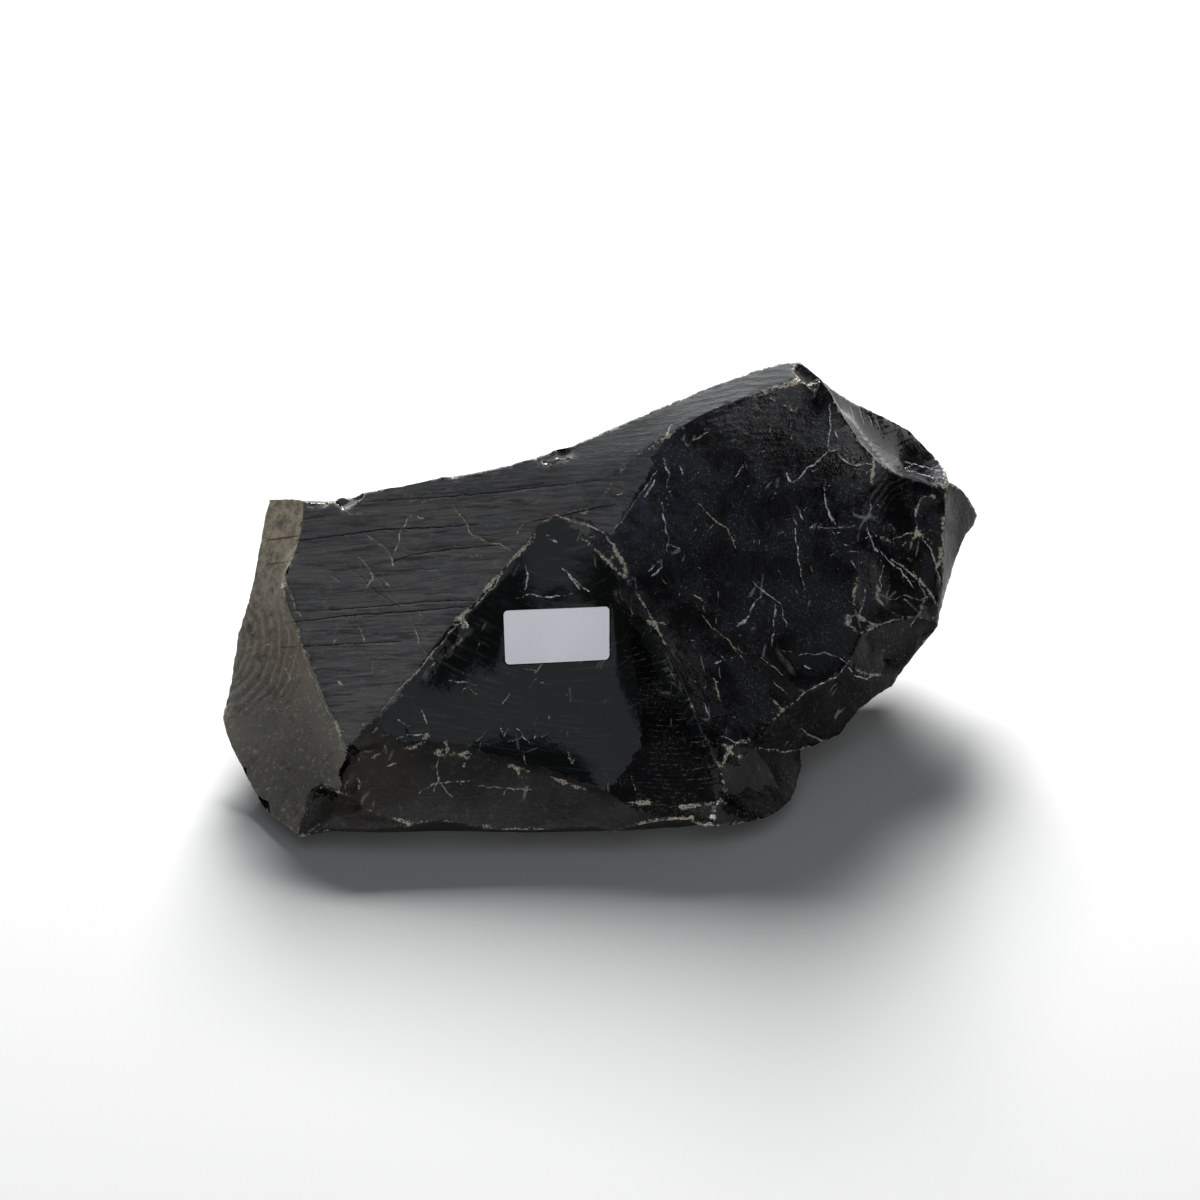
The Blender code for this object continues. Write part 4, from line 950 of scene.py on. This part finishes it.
def tan_material():
    """The left face: tan skin, brown at its top, with pits and spots, and painted highlight on its ring
    crests and painted shade in its ring valleys.
    """
    board = Board("tan_weathered_side")
    cloud = board.step(board.noise(45.0, 5.0, 0.6), 0.35, 0.7)
    grain = board.step(board.noise(260.0, 5.0, 0.7), 0.35, 0.65)
    ring = board.layer("ring")
    pits = board.step(board.noise(180.0, 6.0, 0.75), 0.50, 0.66)
    spots = board.step(board.noise(520.0, 5.0, 0.75), 0.54, 0.66)
    base = board.mix(cloud, (0.112, 0.110, 0.098, 1), (0.175, 0.160, 0.130, 1))
    upper = board.mix(grain, (0.17, 0.155, 0.125, 1), (0.42, 0.35, 0.26, 1))
    base = board.mix(board.near(TAN_TOP, 0.080), base, upper)
    base = board.mix(board.times(board.near(TAN_OCHRE, 0.040), 0.8), base, (0.115, 0.090, 0.050, 1))
    base = board.mix(board.times(board.near(TAN_FOOT, 0.055), 0.8), base, (0.068, 0.066, 0.058, 1))
    # Painted highlight on the ring crests and painted shade in the ring valleys, following the rings' relief.
    base = board.mix(board.times(board.step(ring, 0.1, 0.8), 0.35), base, (0.26, 0.25, 0.22, 1))
    base = board.mix(board.times(board.step(ring, -0.1, -0.8), 0.35), base, (0.055, 0.050, 0.040, 1))
    base = board.mix(board.times(pits, 0.75), base, (0.045, 0.041, 0.034, 1))
    base = board.mix(board.times(spots, 0.7), base, (0.24, 0.235, 0.21, 1))
    roughness = (0.6, 0.6, 0.6, 1)
    colour, rough = worn(board, base, roughness, 0.3, (0.40, 0.39, 0.36, 1), (0.34, 0.28, 0.20, 1))
    height = board.plus(board.noise(420.0, 4.0, 0.6), board.noise(1500.0, 2.0))
    return board.finish(colour, rough, board.bump(height, 0.0005, 0.6), 0.2)


def lip_material():
    """The front lip, the foot and the underside: dull grey broken rock, brown at the left foot."""
    board = Board("dull_grey_broken_rock")
    cloud = board.step(board.noise(60.0, 5.0, 0.6), 0.35, 0.7)
    grain = board.step(board.noise(420.0, 5.0, 0.72), 0.54, 0.70)
    base = board.mix(cloud, (0.0085, 0.0082, 0.0082, 1), (0.0220, 0.0210, 0.0205, 1))
    base = board.mix(board.times(board.near(BROWN_FOOT, 0.030), 0.6), base, (0.030, 0.025, 0.017, 1))
    base = board.mix(board.times(grain, 0.5), base, (0.055, 0.052, 0.046, 1))
    roughness = (0.42, 0.42, 0.42, 1)
    colour, rough = worn(board, base, roughness, 0.7, (0.36, 0.35, 0.34, 1), (0.30, 0.26, 0.20, 1))
    height = board.plus(board.noise(300.0, 5.0, 0.65), board.noise(1500.0, 2.0))
    return board.finish(colour, rough, board.bump(height, 0.0005, 0.6), 0.18)


def paper_material():
    """White paper with a faint fibre."""
    board = Board("white_label_paper")
    fibre = board.noise(5200.0, 3.0, 0.6)
    base = board.mix(board.noise(60.0, 3.0), (0.73, 0.74, 0.80, 1), (0.79, 0.80, 0.85, 1))
    colour = board.mix(board.times(board.step(fibre, 0.5, 0.8), 0.10), base, (0.62, 0.62, 0.66, 1))
    return board.finish(colour, 0.55, board.bump(fibre, 0.00004, 0.3))


def floor_material():
    return Board("pale_floor").finish((0.30, 0.30, 0.30, 1), 1.0)


# Pieces
def add_piece(name, bm, *materials):
    mesh = bpy.data.meshes.new(name)
    bm.to_mesh(mesh)
    bm.free()
    for material in materials:
        mesh.materials.append(material)
    piece = bpy.data.objects.new(name, mesh)
    bpy.context.scene.collection.objects.link(piece)
    return piece


def add_stone():
    stone = add_piece(
        "obsidian_stone",
        stone_mesh(),
        glass_material(),
        weathered_material(),
        tan_material(),
        lip_material(),
        bruised_material("bruised_blue_black_glass", 0.24, (0.0064, 0.0083, 0.0128, 1)),
        # The dark copy has less gloss and a duller haze: painted shade where it is laid on seen places.
        bruised_material("dark_broken_glass_and_painted_shade", 0.08, (0.0060, 0.0056, 0.0052, 1)),
    )
    stone.data.set_sharp_from_angle(angle=SHADED_SHARP_ANGLE)
    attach(stone, "root")
    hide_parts("obsidian_chunk")


def add_sticker():
    bm = merged_copy(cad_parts["paper_sticker"])
    rim = [edge for edge in bm.edges if edge.calc_face_angle(0.0) > PAPER_RIM_ANGLE]
    bmesh.ops.bevel(
        bm,
        geom=rim,
        offset=PAPER_ROUND,
        offset_type="OFFSET",
        segments=2,
        profile=0.5,
        affect="EDGES",
        material=-1,
    )
    for face in bm.faces:
        face.smooth = True
    sticker = add_piece("blank_sticker", bm, paper_material())
    sticker.data.set_sharp_from_angle(angle=PAPER_SHARP_ANGLE)
    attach(sticker, "root")
    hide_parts("paper_sticker")


def add_floor():
    bm = bmesh.new()
    bmesh.ops.create_grid(bm, x_segments=1, y_segments=1, size=FLOOR_REACH)
    bmesh.ops.translate(bm, verts=bm.verts, vec=(0.0, 0.0, -FLOOR_BELOW))
    add_piece("floor", bm, floor_material())


# Camera and light
def add_camera():
    camera = bpy.data.cameras.new("camera")
    camera.lens = LENS
    camera.sensor_width = SENSOR
    camera.clip_start = CLIP_START
    eye = bpy.data.objects.new("camera", camera)
    eye.location = EYE
    eye.rotation_euler = (math.pi / 2 - EYE_ELEVATION, 0.0, 0.0)
    bpy.context.scene.collection.objects.link(eye)
    bpy.context.scene.camera = eye


def add_light(name, direction, distance, size, radiance, colour):
    """A soft light that faces the stone."""
    turn, height = (math.radians(angle) for angle in direction)
    away = Vector((math.sin(turn) * math.cos(height), -math.cos(turn) * math.cos(height), math.sin(height)))
    light = bpy.data.lights.new(name, "AREA")
    light.shape = "RECTANGLE"
    light.size, light.size_y = size
    light.energy = radiance * WATTS_PER_RADIANCE * size[0] * size[1]
    light.color = colour
    lamp = bpy.data.objects.new(name, light)
    lamp.location = LIT_MIDDLE + away * distance
    lamp.rotation_euler = (-away).to_track_quat("-Z", "Y").to_euler()
    bpy.context.scene.collection.objects.link(lamp)


def add_sky():
    """Even white light all round, which the glass reflects only dimly."""
    world = bpy.data.worlds.new("studio")
    bpy.context.scene.world = world
    world.use_nodes = True
    nodes = world.node_tree.nodes
    links = world.node_tree.links
    path = nodes.new("ShaderNodeLightPath")
    strength = nodes.new("ShaderNodeMix")
    strength.inputs[2].default_value = SKY_ON_DULL
    strength.inputs[3].default_value = SKY_IN_GLOSS
    links.new(path.outputs["Is Glossy Ray"], strength.inputs[0])
    background = nodes["Background"]
    background.inputs["Color"].default_value = (1.0, 1.0, 1.0, 1.0)
    links.new(strength.outputs[0], background.inputs["Strength"])


add_camera()
add_sky()
for light in LIGHTS:
    add_light(*light)
add_floor()
add_stone()
add_sticker()
bpy.context.scene.view_settings.view_transform = "Standard"
